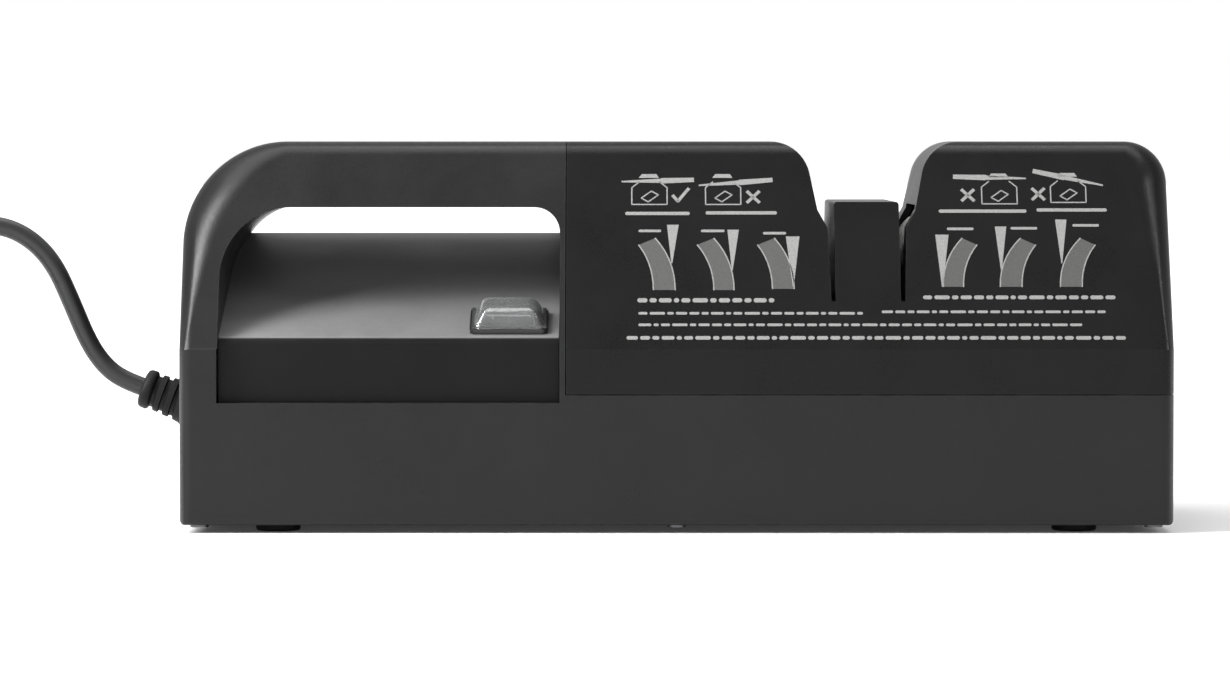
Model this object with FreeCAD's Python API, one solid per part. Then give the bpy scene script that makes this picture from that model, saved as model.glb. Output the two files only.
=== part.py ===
import FreeCAD, Part
import math
import os

# Electric belt knife sharpener, millimetres. Origin at the bottom centre of the body, +Z up.
# +X runs to the right along the length and -Y is the front. The mains lead leaves at -X.

V = FreeCAD.Vector

# Body
LENGTH = 310.0
DEPTH = 110.0
HEIGHT = 122.0
FOOT_HEIGHT = 2.5
CREASE_Z = 57.4
SLOPE_DEG = 25.0
WALL = 2.5
EDGE_ROUND = 4.0
BASE_ROUND = 2.0
LEFT_ARCH_R = 32.0
RIGHT_CORNER_R = 13.0
SEAM = 0.25

# Base, feet and bottom plate
BASE_TOP_Z = 43.1
SHELF_Z = 40.6
SHELF_THICK = 2.5
SHELF_REACH = 9.0
COLUMN_TOP_Z = 57.5
PLATE_THICK = 2.5
PLATE_GAP = 0.2
FOOT_R = 7.0
FOOT_STEM_R = 3.0
FOOT_X = LENGTH / 2 - 30.0
FOOT_Y = 40.0
POST_R = 4.5
POST_INSET = 6.0
POST_TOP_Z = 38.0
BOSS_R = 5.0
BOSS_TOP_Z = 10.0
VENT_COUNT = 7
VENT_LENGTH = 30.0
VENT_WIDTH = 2.5
VENT_PITCH = 6.0

# Handle and the grip opening under it
OPENING_X0 = -LENGTH / 2 + 12.0
OPENING_X1 = -36.5
OPENING_TOP_Z = 101.3
OPENING_LEFT_R = 21.8
OPENING_RIGHT_R = 8.0
OPENING_GAP = 0.1
LINER_THICK = 2.4
HANDLE_END_BLOCK = 9.5
COVER_X0 = -34.5

# Tray and recessed wall in front
RECESS_Y = -DEPTH / 2 + 5.0
TRAY_FRONT_Z = 60.7
TRAY_REAR_Z = 92.7
TRAY_THICK = 2.4
TRAY_EDGE_R = 3.0

# Belt cover with its two knife notches
BLOCK_X = 59.9
BLOCK_HALF = 10.2
BLOCK_TOP_Z = 103.0
NOTCH_ROUND = 12.5
NOTCH_TOP_HALF = 19.75
NOTCH_LOW_HALF = 15.4
NOTCH_LOW_Z = 100.5
SLOT_MOUTH_HALF = 12.4
SLOT_MOUTH_Z = 95.0
SLOT_FOOT_HALF = 11.5
SLOT_FOOT_Z = 72.0
TROUGH_WALL = 2.0

# Mechanism, tilted back about the X axis
TILT_DEG = 15.0
AXIS_Y = 2.0
AXIS_Z = 34.0
BELT_WIDTH = 20.0
BELT_THICK = 0.8
BELT_GAP = 0.25
DRIVE_HALF_SPAN = 24.0
DRIVE_R = 12.0
IDLER_R = 9.6
IDLER_RISE = 55.0
SHAFT_R = 4.0
FIT = 0.02
RUNNING_FIT = 0.05
END_PLAY = 1.0

# Chassis
CHASSIS_THICK = 3.0
CHASSIS_V = 12.0
CHASSIS_HALF = 61.9
TOWER_INNER_HALF = 29.9
TOWER_WIDTH = CHASSIS_HALF - TOWER_INNER_HALF
TOWER_TOP = 66.0
CHASSIS_NOTCH = 31.0
CHASSIS_FOOT_THICK = 2.5
CHASSIS_FOOT_DEPTH = 34.0
REAR_PLATE_THICK = 2.0
REAR_PLATE_TOP = 28.0
BEARING_R = 11.0
BEARING_WIDTH = 6.0
SPACER_R = 4.0

# Gears
GEAR_MODULE = 1.5
GEAR_TEETH = 32
GEAR_WIDTH = 6.0
GEAR_V = 20.0
GEAR_BACKLASH = 0.5

# Tension arms
ARM_THICK = 3.0
ARM_PIVOT_HALF = 47.0
ARM_PIVOT_RISE = 56.0
ARM_END_R = 6.0
ARM_TAIL_REACH = 10.0
ARM_TAIL_DROP = 3.0
ARM_TAIL_R = 4.0
SPRING_R = 2.6
SPRING_WIRE_R = 0.45
SPRING_TURNS = 9
SPRING_LENGTH = 21.0

# Motor and first belt stage
MOTOR_X = -LENGTH / 2 + 71.0
MOTOR_RISE = 9.0
MOTOR_R = 25.0
MOTOR_WALL = 1.5
MOTOR_FRONT = -35.0
MOTOR_REAR = 27.0
END_CAP_THICK = 4.0
MOTOR_SHAFT_R = 3.0
MOTOR_PULLEY_R = 8.0
DRIVEN_PULLEY_R = 20.0
DRIVE_BELT_WIDTH = 6.0
DRIVE_BELT_THICK = 1.2
DRIVE_BELT_GAP = 0.3
PULLEY_V = 31.0
PULLEY_LIP = 0.7
MAGNET_THICK = 5.0
AIR_GAP = 0.9
CORE_FRONT = -18.0
CORE_REAR = 12.0
CORE_SLOTS = 12
WINDING_LENGTH = 6.0
COMMUTATOR_R = 7.0
COMMUTATOR_LENGTH = 5.0
FAN_R = 20.0
FAN_BLADES = 9
BRACKET_THICK = 2.5
BRACKET_HALF = 30.0

# Switch
SWITCH_X = -52.4
SWITCH_LENGTH = 24.5
SWITCH_WIDTH = 18.0
SWITCH_ALONG = 12.0
SWITCH_DEPTH = 11.0
SWITCH_PIN_X = 6.0
CUTOUT_LENGTH = 21.0
CUTOUT_WIDTH = 14.0
BEZEL_HEIGHT = 1.6
ROCKER_TILT_DEG = 8.0
CAP_HEIGHT = 6.5
CAP_WALL = 0.9

# Control board
BOARD_X0 = -LENGTH / 2 + 14.0
BOARD_X1 = BOARD_X0 + 25.0
BOARD_Y = 26.0
BOARD_Z = 14.0
BOARD_THICK = 1.6

# Mains lead: the gland, the arch that shows, a coil on the surface and a plug
CORD_D = 6.0
GLAND_Z = 37.0
GLAND_TILT_DEG = 20.0
GLAND_R = 6.2
GLAND_TIP_R = 4.6
GLAND_LENGTH = 17.5
GLAND_NECK_R = 4.6
GLAND_FLANGE_R = 8.0
PLUG_LENGTH = 27.0
PLUG_WIDTH = 36.0
BOOT_LENGTH = 15.0
BOOT_R = 4.6
PIN_R = 2.4
PIN_LENGTH = 19.0
PIN_SPAN = 19.0
COIL_PITCH = 6.8
COIL_LIFT = 6.7
COIL_OUTER_R = 46.8
COIL_LOWER_HALF_TURNS = 8
COIL_UPPER_HALF_TURNS = 3
TAIL_RUNS = 17.0

SLOPE = math.radians(SLOPE_DEG)
TILT = math.radians(TILT_DEG)
INNER_FLOOR_Z = FOOT_HEIGHT + PLATE_THICK


def at(plane, a, b):
    if plane == "XZ":
        return V(a, 0, b)
    if plane == "YZ":
        return V(0, a, b)
    return V(a, b, 0)


def outline(corners, plane):
    """Closed wire through corners (a, b[, radius]) with each corner rounded by its radius."""
    points = [at(plane, c[0], c[1]) for c in corners]
    radii = [c[2] if len(c) > 2 else 0 for c in corners]
    count = len(points)
    ends = []
    for i in range(count):
        here = points[i]
        back = (points[i - 1] - here).normalize()
        ahead = (points[(i + 1) % count] - here).normalize()
        if radii[i] > 0:
            half = back.getAngle(ahead) / 2
            reach = radii[i] / math.tan(half)
            way = (back + ahead).normalize()
            centre = here + way * (radii[i] / math.sin(half))
            ends.append((here + back * reach, centre - way * radii[i], here + ahead * reach))
        else:
            ends.append((here, None, here))
    edges = []
    for i in range(count):
        first, middle, last = ends[i]
        if middle is not None:
            edges.append(Part.Arc(first, middle, last).toShape())
        following = ends[(i + 1) % count][0]
        if (following - last).Length > 1e-6:
            edges.append(Part.LineSegment(last, following).toShape())
    return Part.Wire(edges)


def prism(corners, plane, low, high):
    axis = {"XZ": V(0, 1, 0), "YZ": V(1, 0, 0), "XY": V(0, 0, 1)}[plane]
    face = Part.Face(outline(corners, plane))
    face.translate(axis * low)
    return face.extrude(axis * (high - low))


def box(x0, x1, y0, y1, z0, z1):
    return Part.makeBox(x1 - x0, y1 - y0, z1 - z0, V(x0, y0, z0))


def rod(radius, start, direction, length):
    return Part.makeCylinder(radius, length, start, direction)


def union(shapes):
    shapes = list(shapes)
    return shapes[0].multiFuse(shapes[1:]).removeSplitter() if len(shapes) > 1 else shapes[0]


def half_depth(z, inset=0.0):
    """Half the body's depth at height z, inside its skin by inset."""
    slope = DEPTH / 2 - (z - CREASE_Z) * math.tan(SLOPE) - inset / math.cos(SLOPE)
    return min(DEPTH / 2 - inset, slope)


def body(inset=0.0, rounded=False):
    """Whole outer form: the sloped section along X, cut by the front outline with its arch."""
    flat = DEPTH / 2 - inset
    kink = CREASE_Z + (DEPTH / 2 - inset / math.cos(SLOPE) - flat) / math.tan(SLOPE)
    top = HEIGHT - inset
    crown = half_depth(top, inset)
    end = LENGTH / 2 - inset
    low = 0.0 if inset else FOOT_HEIGHT
    section = [(-flat, low, BASE_ROUND), (flat, low, BASE_ROUND), (flat, kink), (crown, top)]
    section += [(-crown, top), (-flat, kink)]
    front = [(-end, low, BASE_ROUND), (end, low, BASE_ROUND)]
    front += [(end, top, RIGHT_CORNER_R - inset), (-end, top, LEFT_ARCH_R - inset)]
    solid = prism(section, "YZ", -LENGTH, LENGTH).common(prism(front, "XZ", -DEPTH, DEPTH))
    if rounded:
        chosen = []
        for edge in solid.Edges:
            middle = edge.valueAt((edge.FirstParameter + edge.LastParameter) / 2)
            on_skin = abs(abs(middle.y) - half_depth(middle.z)) < 0.01
            if on_skin and middle.z > CREASE_Z + 0.5:
                chosen.append(edge)
        solid = solid.makeFillet(EDGE_ROUND, chosen)
    corner = [(-end, -flat, EDGE_ROUND), (end, -flat, EDGE_ROUND)]
    corner += [(end, flat, EDGE_ROUND), (-end, flat, EDGE_ROUND)]
    return solid.common(prism(corner, "XY", 0, HEIGHT + 1))


def ring(radius, bore, x, w, v0, v1):
    """Disc with a bore about a shaft line, in the mechanism's own frame: Y along the shafts."""
    solid = rod(radius, V(x, v0, w), V(0, 1, 0), v1 - v0)
    if bore > 0:
        solid = solid.cut(rod(bore, V(x, v0 - 1, w), V(0, 1, 0), v1 - v0 + 2))
    return solid


def tilted(solid):
    """Moves a solid from the mechanism's own frame into the body's frame."""
    moved = solid.copy()
    moved.rotate(V(0, 0, 0), V(1, 0, 0), TILT_DEG)
    moved.translate(V(0, AXIS_Y, AXIS_Z))
    return moved


def place(x, v, w):
    """A point of the mechanism's own frame, in the body's frame."""
    y = AXIS_Y + v * math.cos(TILT) - w * math.sin(TILT)
    z = AXIS_Z + v * math.sin(TILT) + w * math.cos(TILT)
    return V(x, y, z)


def loop(a, ra, b, rb, v0, v1):
    """Solid round two circles and their outer tangents; a and b are (x, w)."""
    dx, dw = b[0] - a[0], b[1] - a[1]
    span = math.hypot(dx, dw)
    along = math.atan2(dw, dx)
    lean = math.acos((ra - rb) / span)

    def on(centre, radius, angle):
        return V(centre[0] + radius * math.cos(angle), v0, centre[1] + radius * math.sin(angle))

    a1, a2 = on(a, ra, along + lean), on(a, ra, along - lean)
    b1, b2 = on(b, rb, along + lean), on(b, rb, along - lean)
    edges = [Part.Arc(a1, on(a, ra, along + math.pi), a2).toShape()]
    edges.append(Part.LineSegment(a2, b2).toShape())
    edges.append(Part.Arc(b2, on(b, rb, along), b1).toShape())
    edges.append(Part.LineSegment(b1, a1).toShape())
    return Part.Face(Part.Wire(edges)).extrude(V(0, v1 - v0, 0))


def screw(head, direction, shank_length, shank_r=1.5, head_r=2.9, head_h=1.8):
    """Cross-recessed screw: head is the outer middle of the head, direction points inward."""
    solid = rod(head_r, head, direction, head_h)
    solid = solid.fuse(rod(shank_r, head, direction, head_h + shank_length))
    across = direction.cross(V(1, 0, 0))
    cross = []
    for way in (V(1, 0, 0), across.normalize()):
        other = direction.cross(way)
        face = Part.makePolygon([
            head - way * 1.6 - other * 0.35, head + way * 1.6 - other * 0.35,
            head + way * 1.6 + other * 0.35, head - way * 1.6 + other * 0.35,
            head - way * 1.6 - other * 0.35])
        cross.append(Part.Face(face).extrude(direction * 1.0))
    return solid.cut(cross[0]).cut(cross[1])


def mirrored(x):
    """The same place at the other belt, about the guide block's middle."""
    return 2 * BLOCK_X - x


DRIVE_X = {"left": BLOCK_X - DRIVE_HALF_SPAN, "right": BLOCK_X + DRIVE_HALF_SPAN}
BELT_FACE = DRIVE_HALF_SPAN - DRIVE_R - BELT_GAP - BELT_THICK
IDLER_HALF_SPAN = BELT_FACE + BELT_THICK + BELT_GAP + IDLER_R
SIDES = {"left": -1, "right": 1}
BELT_HALF = BELT_WIDTH / 2
OUTER = body(0.0, True)
INNER = body(WALL)


# Housing

def post_places():
    x = LENGTH / 2 - POST_INSET
    y = DEPTH / 2 - POST_INSET
    return [(sx * x, sy * y) for sx in (-1, 1) for sy in (-1, 1)] + [(0, y), (0, -y)]


def gland_axis():
    angle = math.radians(GLAND_TILT_DEG)
    return V(-math.cos(angle), 0, math.sin(angle))


def base_shell():
    x0 = -LENGTH / 2
    keep = box(x0 - 1, LENGTH / 2 + 1, -DEPTH, DEPTH, 0, BASE_TOP_Z)
    column = box(x0 - 1, OPENING_X0 - SEAM, -DEPTH, DEPTH, 0, COLUMN_TOP_Z)
    solid = OUTER.common(keep.fuse(column))
    hollow = INNER.common(box(x0, LENGTH / 2, -DEPTH, DEPTH, 0, BASE_TOP_Z + 1))
    hollow = hollow.cut(box(x0 - 1, OPENING_X0 - SEAM, -DEPTH, DEPTH, BASE_TOP_Z, HEIGHT))
    inside_column = INNER.common(box(x0, OPENING_X0 - SEAM - LINER_THICK, -DEPTH, DEPTH, 0, HEIGHT))
    solid = solid.cut(hollow).cut(inside_column)
    solid = solid.cut(box(x0, LENGTH / 2, -DEPTH, DEPTH, 0, FOOT_HEIGHT))
    floor = INNER.common(box(x0, LENGTH / 2, -DEPTH, DEPTH, 0, INNER_FLOOR_Z))
    solid = solid.cut(floor)
    y0 = -DEPTH / 2
    solid = solid.cut(box(OPENING_X0 - SEAM, OPENING_X1, y0 - 1, y0 + 10, SHELF_Z, HEIGHT))
    shelf = box(OPENING_X0 - 1, OPENING_X1 + 1, y0 + 1, y0 + SHELF_REACH, SHELF_Z - SHELF_THICK, SHELF_Z)
    parts = [solid, shelf]
    for x, y in post_places():
        post = rod(POST_R, V(x, y, INNER_FLOOR_Z), V(0, 0, 1), POST_TOP_Z - INNER_FLOOR_Z)
        parts.append(post.common(box(x0 + 1, LENGTH / 2 - 1, y0 + 1, -y0 - 1, 0, HEIGHT)))
    solid = union(parts)
    for x, y in post_places():
        solid = solid.cut(rod(1.5 + FIT, V(x, y, 0), V(0, 0, 1), FOOT_HEIGHT + 18))
    hole = V(x0, 0, GLAND_Z) - gland_axis() * 10
    return solid.cut(rod(GLAND_NECK_R + FIT, hole, gland_axis(), 20))


def chassis_bosses():
    y = foot_rear_y() - CHASSIS_FOOT_DEPTH + 5
    low, high = BLOCK_X - CHASSIS_HALF + 8, BLOCK_X + CHASSIS_HALF - 8
    return [(low, y), (high, y), (low, y + 20), (high, y + 20)]


def foot_rear_y():
    w = (BOSS_TOP_Z + CHASSIS_FOOT_THICK - AXIS_Z - CHASSIS_V * math.sin(TILT)) / math.cos(TILT)
    return place(0, CHASSIS_V, w).y


def bracket_rear_y():
    w = (BOSS_TOP_Z + BRACKET_THICK - AXIS_Z - MOTOR_REAR * math.sin(TILT)) / math.cos(TILT)
    return place(0, MOTOR_REAR, w).y


def motor_bosses():
    y = bracket_rear_y()
    x = BRACKET_HALF - 7
    return [(MOTOR_X + s * x, y - back) for s in (-1, 1) for back in (8, 26)]


def board_posts():
    y = BOARD_Y - 4
    return [(x, s * y) for x in (BOARD_X0 + 4, BOARD_X1 - 4) for s in (-1, 1)]


def bottom_plate():
    end = LENGTH / 2 - WALL - PLATE_GAP
    side = DEPTH / 2 - WALL - PLATE_GAP
    corners = [(-end, -side, EDGE_ROUND), (end, -side, EDGE_ROUND)]
    corners += [(end, side, EDGE_ROUND), (-end, side, EDGE_ROUND)]
    parts = [prism(corners, "XY", FOOT_HEIGHT, INNER_FLOOR_Z)]
    for x, y in chassis_bosses() + motor_bosses():
        parts.append(rod(BOSS_R, V(x, y, INNER_FLOOR_Z - 1), V(0, 0, 1), BOSS_TOP_Z - INNER_FLOOR_Z + 1))
    for x, y in board_posts():
        parts.append(rod(3.5, V(x, y, INNER_FLOOR_Z - 1), V(0, 0, 1), BOARD_Z - INNER_FLOOR_Z + 1))
    saddle = Part.makeBox(34, 3, 24, V(MOTOR_X - 17, MOTOR_FRONT + 7, -24))
    saddle = tilted(saddle.cut(ring(MOTOR_R + FIT, 0, MOTOR_X, MOTOR_RISE, MOTOR_FRONT, MOTOR_REAR)))
    saddle = saddle.common(box(-LENGTH, LENGTH, -DEPTH, DEPTH, INNER_FLOOR_Z - 1, AXIS_Z))
    parts.append(max(saddle.Solids, key=lambda s: s.Volume))
    solid = union(parts)
    up = V(0, 0, 1)
    for x, y in post_places():
        solid = solid.cut(rod(1.5 + FIT, V(x, y, 0), up, 12))
        solid = solid.cut(rod(2.9 + FIT, V(x, y, 0), up, FOOT_HEIGHT + 1.0))
    for x in (-FOOT_X, FOOT_X):
        for y in (-FOOT_Y, FOOT_Y):
            solid = solid.cut(rod(FOOT_STEM_R + FIT, V(x, y, 0), up, 12))
    for x, y in chassis_bosses() + motor_bosses() + board_posts():
        solid = solid.cut(rod(1.5 + FIT, V(x, y, FOOT_HEIGHT + 1.0), up, BOARD_Z))
    for i in range(VENT_COUNT):
        x = -22 - i * VENT_PITCH
        solid = solid.cut(box(x, x + VENT_WIDTH, -VENT_LENGTH / 2, VENT_LENGTH / 2, 0, INNER_FLOOR_Z + 1))
    return solid


def rubber_feet():
    feet = []
    for x in (-FOOT_X, FOOT_X):
        for y in (-FOOT_Y, FOOT_Y):
            foot = rod(FOOT_R, V(x, y, 0), V(0, 0, 1), FOOT_HEIGHT)
            edge = [e for e in foot.Edges if e.BoundBox.ZMax < 0.1 and e.BoundBox.XLength > 5]
            foot = foot.makeFillet(0.8, edge)
            stem = rod(FOOT_STEM_R, V(x, y, 1), V(0, 0, 1), INNER_FLOOR_Z)
            barb = Part.makeCone(FOOT_STEM_R + 0.8, FOOT_STEM_R - 1, 2, V(x, y, INNER_FLOOR_Z), V(0, 0, 1))
            feet.append(union([foot, stem, barb]))
    return Part.makeCompound(feet)


def tray_height(y):
    rear = half_depth(TRAY_REAR_Z)
    return TRAY_FRONT_Z + (TRAY_REAR_Z - TRAY_FRONT_Z) * (y - RECESS_Y) / (rear - RECESS_Y)


def tray_angle():
    return math.atan2(TRAY_REAR_Z - TRAY_FRONT_Z, half_depth(TRAY_REAR_Z) - RECESS_Y)


def tray_frame(solid):
    """Moves a solid from the tray's frame (origin at the front edge, Y up the slope) into place."""
    moved = solid.copy()
    moved.rotate(V(0, 0, 0), V(1, 0, 0), math.degrees(tray_angle()))
    moved.translate(V(0, RECESS_Y, TRAY_FRONT_Z))
    return moved


def drive_window():
    """Way through the walls for the drive belt, open downward."""
    lean = math.sin(TILT) * (DRIVEN_PULLEY_R + 6)
    y0 = place(0, PULLEY_V, 0).y - lean - 2
    y1 = place(0, PULLEY_V + DRIVE_BELT_WIDTH, 0).y + lean + 2
    z1 = place(0, PULLEY_V + DRIVE_BELT_WIDTH, DRIVEN_PULLEY_R + 4).z
    return box(OPENING_X1 - 12, COVER_X0 + 8, y0, y1, SHELF_Z - 1, z1)


def upper_housing():
    x0, x1 = OPENING_X0, OPENING_X1 - SEAM
    rear = half_depth(TRAY_REAR_Z)
    deep = DEPTH / 2
    shell = [(RECESS_Y, SHELF_Z), (RECESS_Y, TRAY_FRONT_Z, TRAY_EDGE_R), (rear, TRAY_REAR_Z, TRAY_EDGE_R)]
    shell += [(deep, CREASE_Z), (deep, SHELF_Z)]
    solid = prism(shell, "YZ", x0, x1)
    slope = math.tan(tray_angle())
    drop = TRAY_THICK / math.cos(tray_angle())
    wall_y = RECESS_Y + TRAY_THICK
    lower = tray_height(wall_y) - drop
    lean = math.tan(SLOPE)
    skin = DEPTH / 2 - TRAY_THICK / math.cos(SLOPE)
    meet = (TRAY_FRONT_Z - drop + slope * (skin + CREASE_Z * lean - RECESS_Y)) / (1 + slope * lean)
    kink = CREASE_Z + (skin - deep + TRAY_THICK) / lean
    inner = [(wall_y, SHELF_Z - 1), (wall_y, lower), (skin - (meet - CREASE_Z) * lean, meet)]
    inner += [(deep - TRAY_THICK, kink), (deep - TRAY_THICK, SHELF_Z - 1)]
    solid = solid.cut(prism(inner, "YZ", x0 + TRAY_THICK, x1 - TRAY_THICK))
    solid = solid.cut(box(x0 - 1, x1 + 1, 0, DEPTH, 0, BASE_TOP_Z))
    inside_front = box(x0 - 1, x1 + 1, RECESS_Y + TRAY_THICK, 1, 0, BASE_TOP_Z)
    solid = solid.cut(inside_front)
    solid = solid.common(prism(opening_outline(-OPENING_GAP), "XZ", -DEPTH, DEPTH))
    cutout = Part.makeBox(CUTOUT_LENGTH, CUTOUT_WIDTH, 40, V(
        SWITCH_X - CUTOUT_LENGTH / 2, SWITCH_ALONG - CUTOUT_WIDTH / 2, -20))
    return solid.cut(tray_frame(cutout)).cut(drive_window())


def opening_outline(grow):
    x0, x1 = OPENING_X0 - grow, OPENING_X1 + grow
    z1 = OPENING_TOP_Z + grow
    return [(x0, 0), (x1, 0), (x1, z1, OPENING_RIGHT_R + grow), (x0, z1, OPENING_LEFT_R + grow)]


def handle_box(x1):
    return box(-LENGTH / 2 - 1, x1, -DEPTH, DEPTH, COLUMN_TOP_Z, HEIGHT + 1)


def handle_shell():
    end = COVER_X0 - SEAM
    solid = OUTER.common(handle_box(end))
    strip = OUTER.common(box(OPENING_X1, end, -DEPTH, DEPTH, BASE_TOP_Z, COLUMN_TOP_Z + 1))
    solid = solid.cut(prism(opening_outline(0), "XZ", -DEPTH, DEPTH))
    hollow = INNER.common(handle_box(OPENING_X1 - HANDLE_END_BLOCK))
    return union([solid.cut(hollow), strip]).cut(drive_window())


def handle_liner():
    region = prism(opening_outline(LINER_THICK), "XZ", -DEPTH, DEPTH)
    region = region.cut(prism(opening_outline(0), "XZ", -DEPTH, DEPTH))
    return region.common(body(WALL + SEAM)).common(handle_box(OPENING_X1 - HANDLE_END_BLOCK))


def notch_outline(wall):
    """Front outline of both knife notches and their slots, outside a wall of this thickness."""
    top = HEIGHT - (WALL - 0.1 if wall else 0)
    low = wall * 0.1
    grow = wall * 1.1
    reach = NOTCH_TOP_HALF + grow
    half = [(reach + 16, HEIGHT + 20), (reach + 16, top), (reach, top, NOTCH_ROUND - wall)]
    half += [(NOTCH_LOW_HALF + grow, NOTCH_LOW_Z - low), (SLOT_MOUTH_HALF + grow, SLOT_MOUTH_Z - 2 * low)]
    half += [(SLOT_FOOT_HALF + grow, SLOT_FOOT_Z - wall), (BLOCK_HALF - wall, SLOT_FOOT_Z - wall)]
    half += [(BLOCK_HALF - wall, BLOCK_TOP_Z - wall, 1.0)]
    right = [(BLOCK_X + p[0],) + tuple(p[1:]) for p in half]
    left = [(BLOCK_X - p[0],) + tuple(p[1:]) for p in half]
    return right + left[::-1]


def belt_window(side):
    """Way through the trough for a belt, from the space below."""
    inner = BLOCK_HALF + 0.05
    outer = DRIVE_HALF_SPAN - 4.6
    x = sorted([BLOCK_X + SIDES[side] * inner, BLOCK_X + SIDES[side] * outer])
    top = place(0, BELT_HALF, IDLER_RISE + IDLER_R + BELT_THICK).z + 2.2
    y0 = place(0, -BELT_HALF, IDLER_RISE + IDLER_R).y - 3
    y1 = place(0, BELT_HALF, -DRIVE_R).y + 2
    return box(x[0], x[1], y0, y1, SLOT_FOOT_Z - 12, top)


def belt_cover():
    solid = OUTER.common(box(COVER_X0, LENGTH, -DEPTH, DEPTH, BASE_TOP_Z + SEAM, HEIGHT + 1))
    hollow = INNER.common(box(COVER_X0 + WALL, LENGTH, -DEPTH, DEPTH, 0, HEIGHT + 1))
    hollow = hollow.cut(prism(notch_outline(TROUGH_WALL), "XZ", -DEPTH, DEPTH))
    solid = solid.cut(hollow)
    solid = solid.cut(prism(notch_outline(0), "XZ", -DEPTH, DEPTH))
    for side in SIDES:
        solid = solid.cut(belt_window(side))
    return solid.cut(drive_window())


# Chassis and shaft stage

def chassis_plate():
    low = -40.0
    x0, x1 = BLOCK_X - CHASSIS_HALF, BLOCK_X + CHASSIS_HALF
    a, b = x0 + TOWER_WIDTH, x1 - TOWER_WIDTH
    corners = [(x0, low), (x1, low), (x1, TOWER_TOP, 6), (b, TOWER_TOP, 6), (b, CHASSIS_NOTCH, 4)]
    corners += [(a, CHASSIS_NOTCH, 4), (a, TOWER_TOP, 6), (x0, TOWER_TOP, 6)]
    plate = prism(corners, "XZ", CHASSIS_V, CHASSIS_V + CHASSIS_THICK)
    for side in SIDES:
        plate = plate.cut(ring(BEARING_R + FIT, 0, DRIVE_X[side], 0, 0, 40))
    plate = tilted(plate).cut(box(-LENGTH, LENGTH, -DEPTH, DEPTH, -DEPTH, BOSS_TOP_Z))
    rear = foot_rear_y() + 2
    foot = box(x0, x1, rear - CHASSIS_FOOT_DEPTH, rear, BOSS_TOP_Z, BOSS_TOP_Z + CHASSIS_FOOT_THICK)
    solid = union([plate, foot])
    for x, y in chassis_bosses():
        solid = solid.cut(rod(1.5 + FIT, V(x, y, 0), V(0, 0, 1), 20))
    for x, w in spacer_places():
        solid = solid.cut(tilted(ring(1.5 + FIT, 0, x, w, 0, 40)))
    for side in SIDES:
        solid = solid.cut(tilted(ring(SHAFT_R, 0, pivot(side)[0], pivot(side)[1], 0, 40)))
        solid = solid.cut(tilted(ring(2.0, 0, lug(side)[0], lug(side)[1], 0, 40)))
    return solid


def rear_v():
    return GEAR_V + GEAR_WIDTH + 1.5


def spacer_places():
    out = CHASSIS_HALF - 6
    places = [(BLOCK_X + s * out, w) for s in (-1, 1) for w in (-16, 10)]
    return places + [(BLOCK_X, 23.5), (BLOCK_X, -23.5)]


def rear_plate():
    half = CHASSIS_HALF
    corners = [(BLOCK_X - half, -REAR_PLATE_TOP, 6), (BLOCK_X + half, -REAR_PLATE_TOP, 6)]
    corners += [(BLOCK_X + half, REAR_PLATE_TOP, 6), (BLOCK_X - half, REAR_PLATE_TOP, 6)]
    plate = prism(corners, "XZ", rear_v(), rear_v() + REAR_PLATE_THICK)
    for side in SIDES:
        plate = plate.cut(ring(BEARING_R + FIT, 0, DRIVE_X[side], 0, 0, 60))
    for x, w in spacer_places():
        plate = plate.cut(ring(1.5 + FIT, 0, x, w, 0, 60))
    return tilted(plate)


def plate_spacers():
    spacers = []
    for x, w in spacer_places():
        spacers.append(tilted(ring(SPACER_R, 1.5 + FIT, x, w, CHASSIS_V + CHASSIS_THICK, rear_v())))
    return Part.makeCompound(spacers)


def chassis_screws():
    screws = []
    for x, y in chassis_bosses():
        head = V(x, y, BOSS_TOP_Z + CHASSIS_FOOT_THICK + 1.8)
        screws.append(screw(head, V(0, 0, -1), 8))
    for x, y in motor_bosses():
        head = V(x, y, BOSS_TOP_Z + BRACKET_THICK + 1.8)
        screws.append(screw(head, V(0, 0, -1), 8))
    for x, w in spacer_places():
        head = V(x, rear_v() + REAR_PLATE_THICK + 1.8, w)
        length = rear_v() + REAR_PLATE_THICK - CHASSIS_V
        screws.append(tilted(screw(head, V(0, -1, 0), length)))
    return Part.makeCompound(screws)


def shaft_bearings():
    bearings = []
    for side in SIDES:
        x = DRIVE_X[side]
        front = CHASSIS_V - 1
        bearings.append(tilted(ring(BEARING_R, SHAFT_R + RUNNING_FIT, x, 0, front, front + BEARING_WIDTH)))
        v0 = rear_v() - 0.8
        bearings.append(tilted(ring(BEARING_R, SHAFT_R + RUNNING_FIT, x, 0, v0, v0 + 3.2)))
    return Part.makeCompound(bearings)


def drive_shaft(side):
    front = -BELT_HALF - 2.5
    rear = PULLEY_V + 8.5 if side == "left" else rear_v() + REAR_PLATE_THICK + 2.5
    shaft = ring(SHAFT_R, 0, DRIVE_X[side], 0, front, rear)
    clip = ring(SHAFT_R + 2.0, 0, DRIVE_X[side], 0, front + 0.8, -BELT_HALF - 0.8)
    return tilted(shaft.fuse(clip).removeSplitter())


def drive_roller(side):
    x = DRIVE_X[side]
    roller = ring(DRIVE_R, SHAFT_R + FIT, x, 0, -BELT_HALF, BELT_HALF)
    for v0, v1 in ((-BELT_HALF - 1, -BELT_HALF + 2), (BELT_HALF - 2, BELT_HALF + 1)):
        roller = roller.cut(ring(DRIVE_R - 2.5, SHAFT_R + 2.5, x, 0, v0, v1))
    return tilted(roller)


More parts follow.
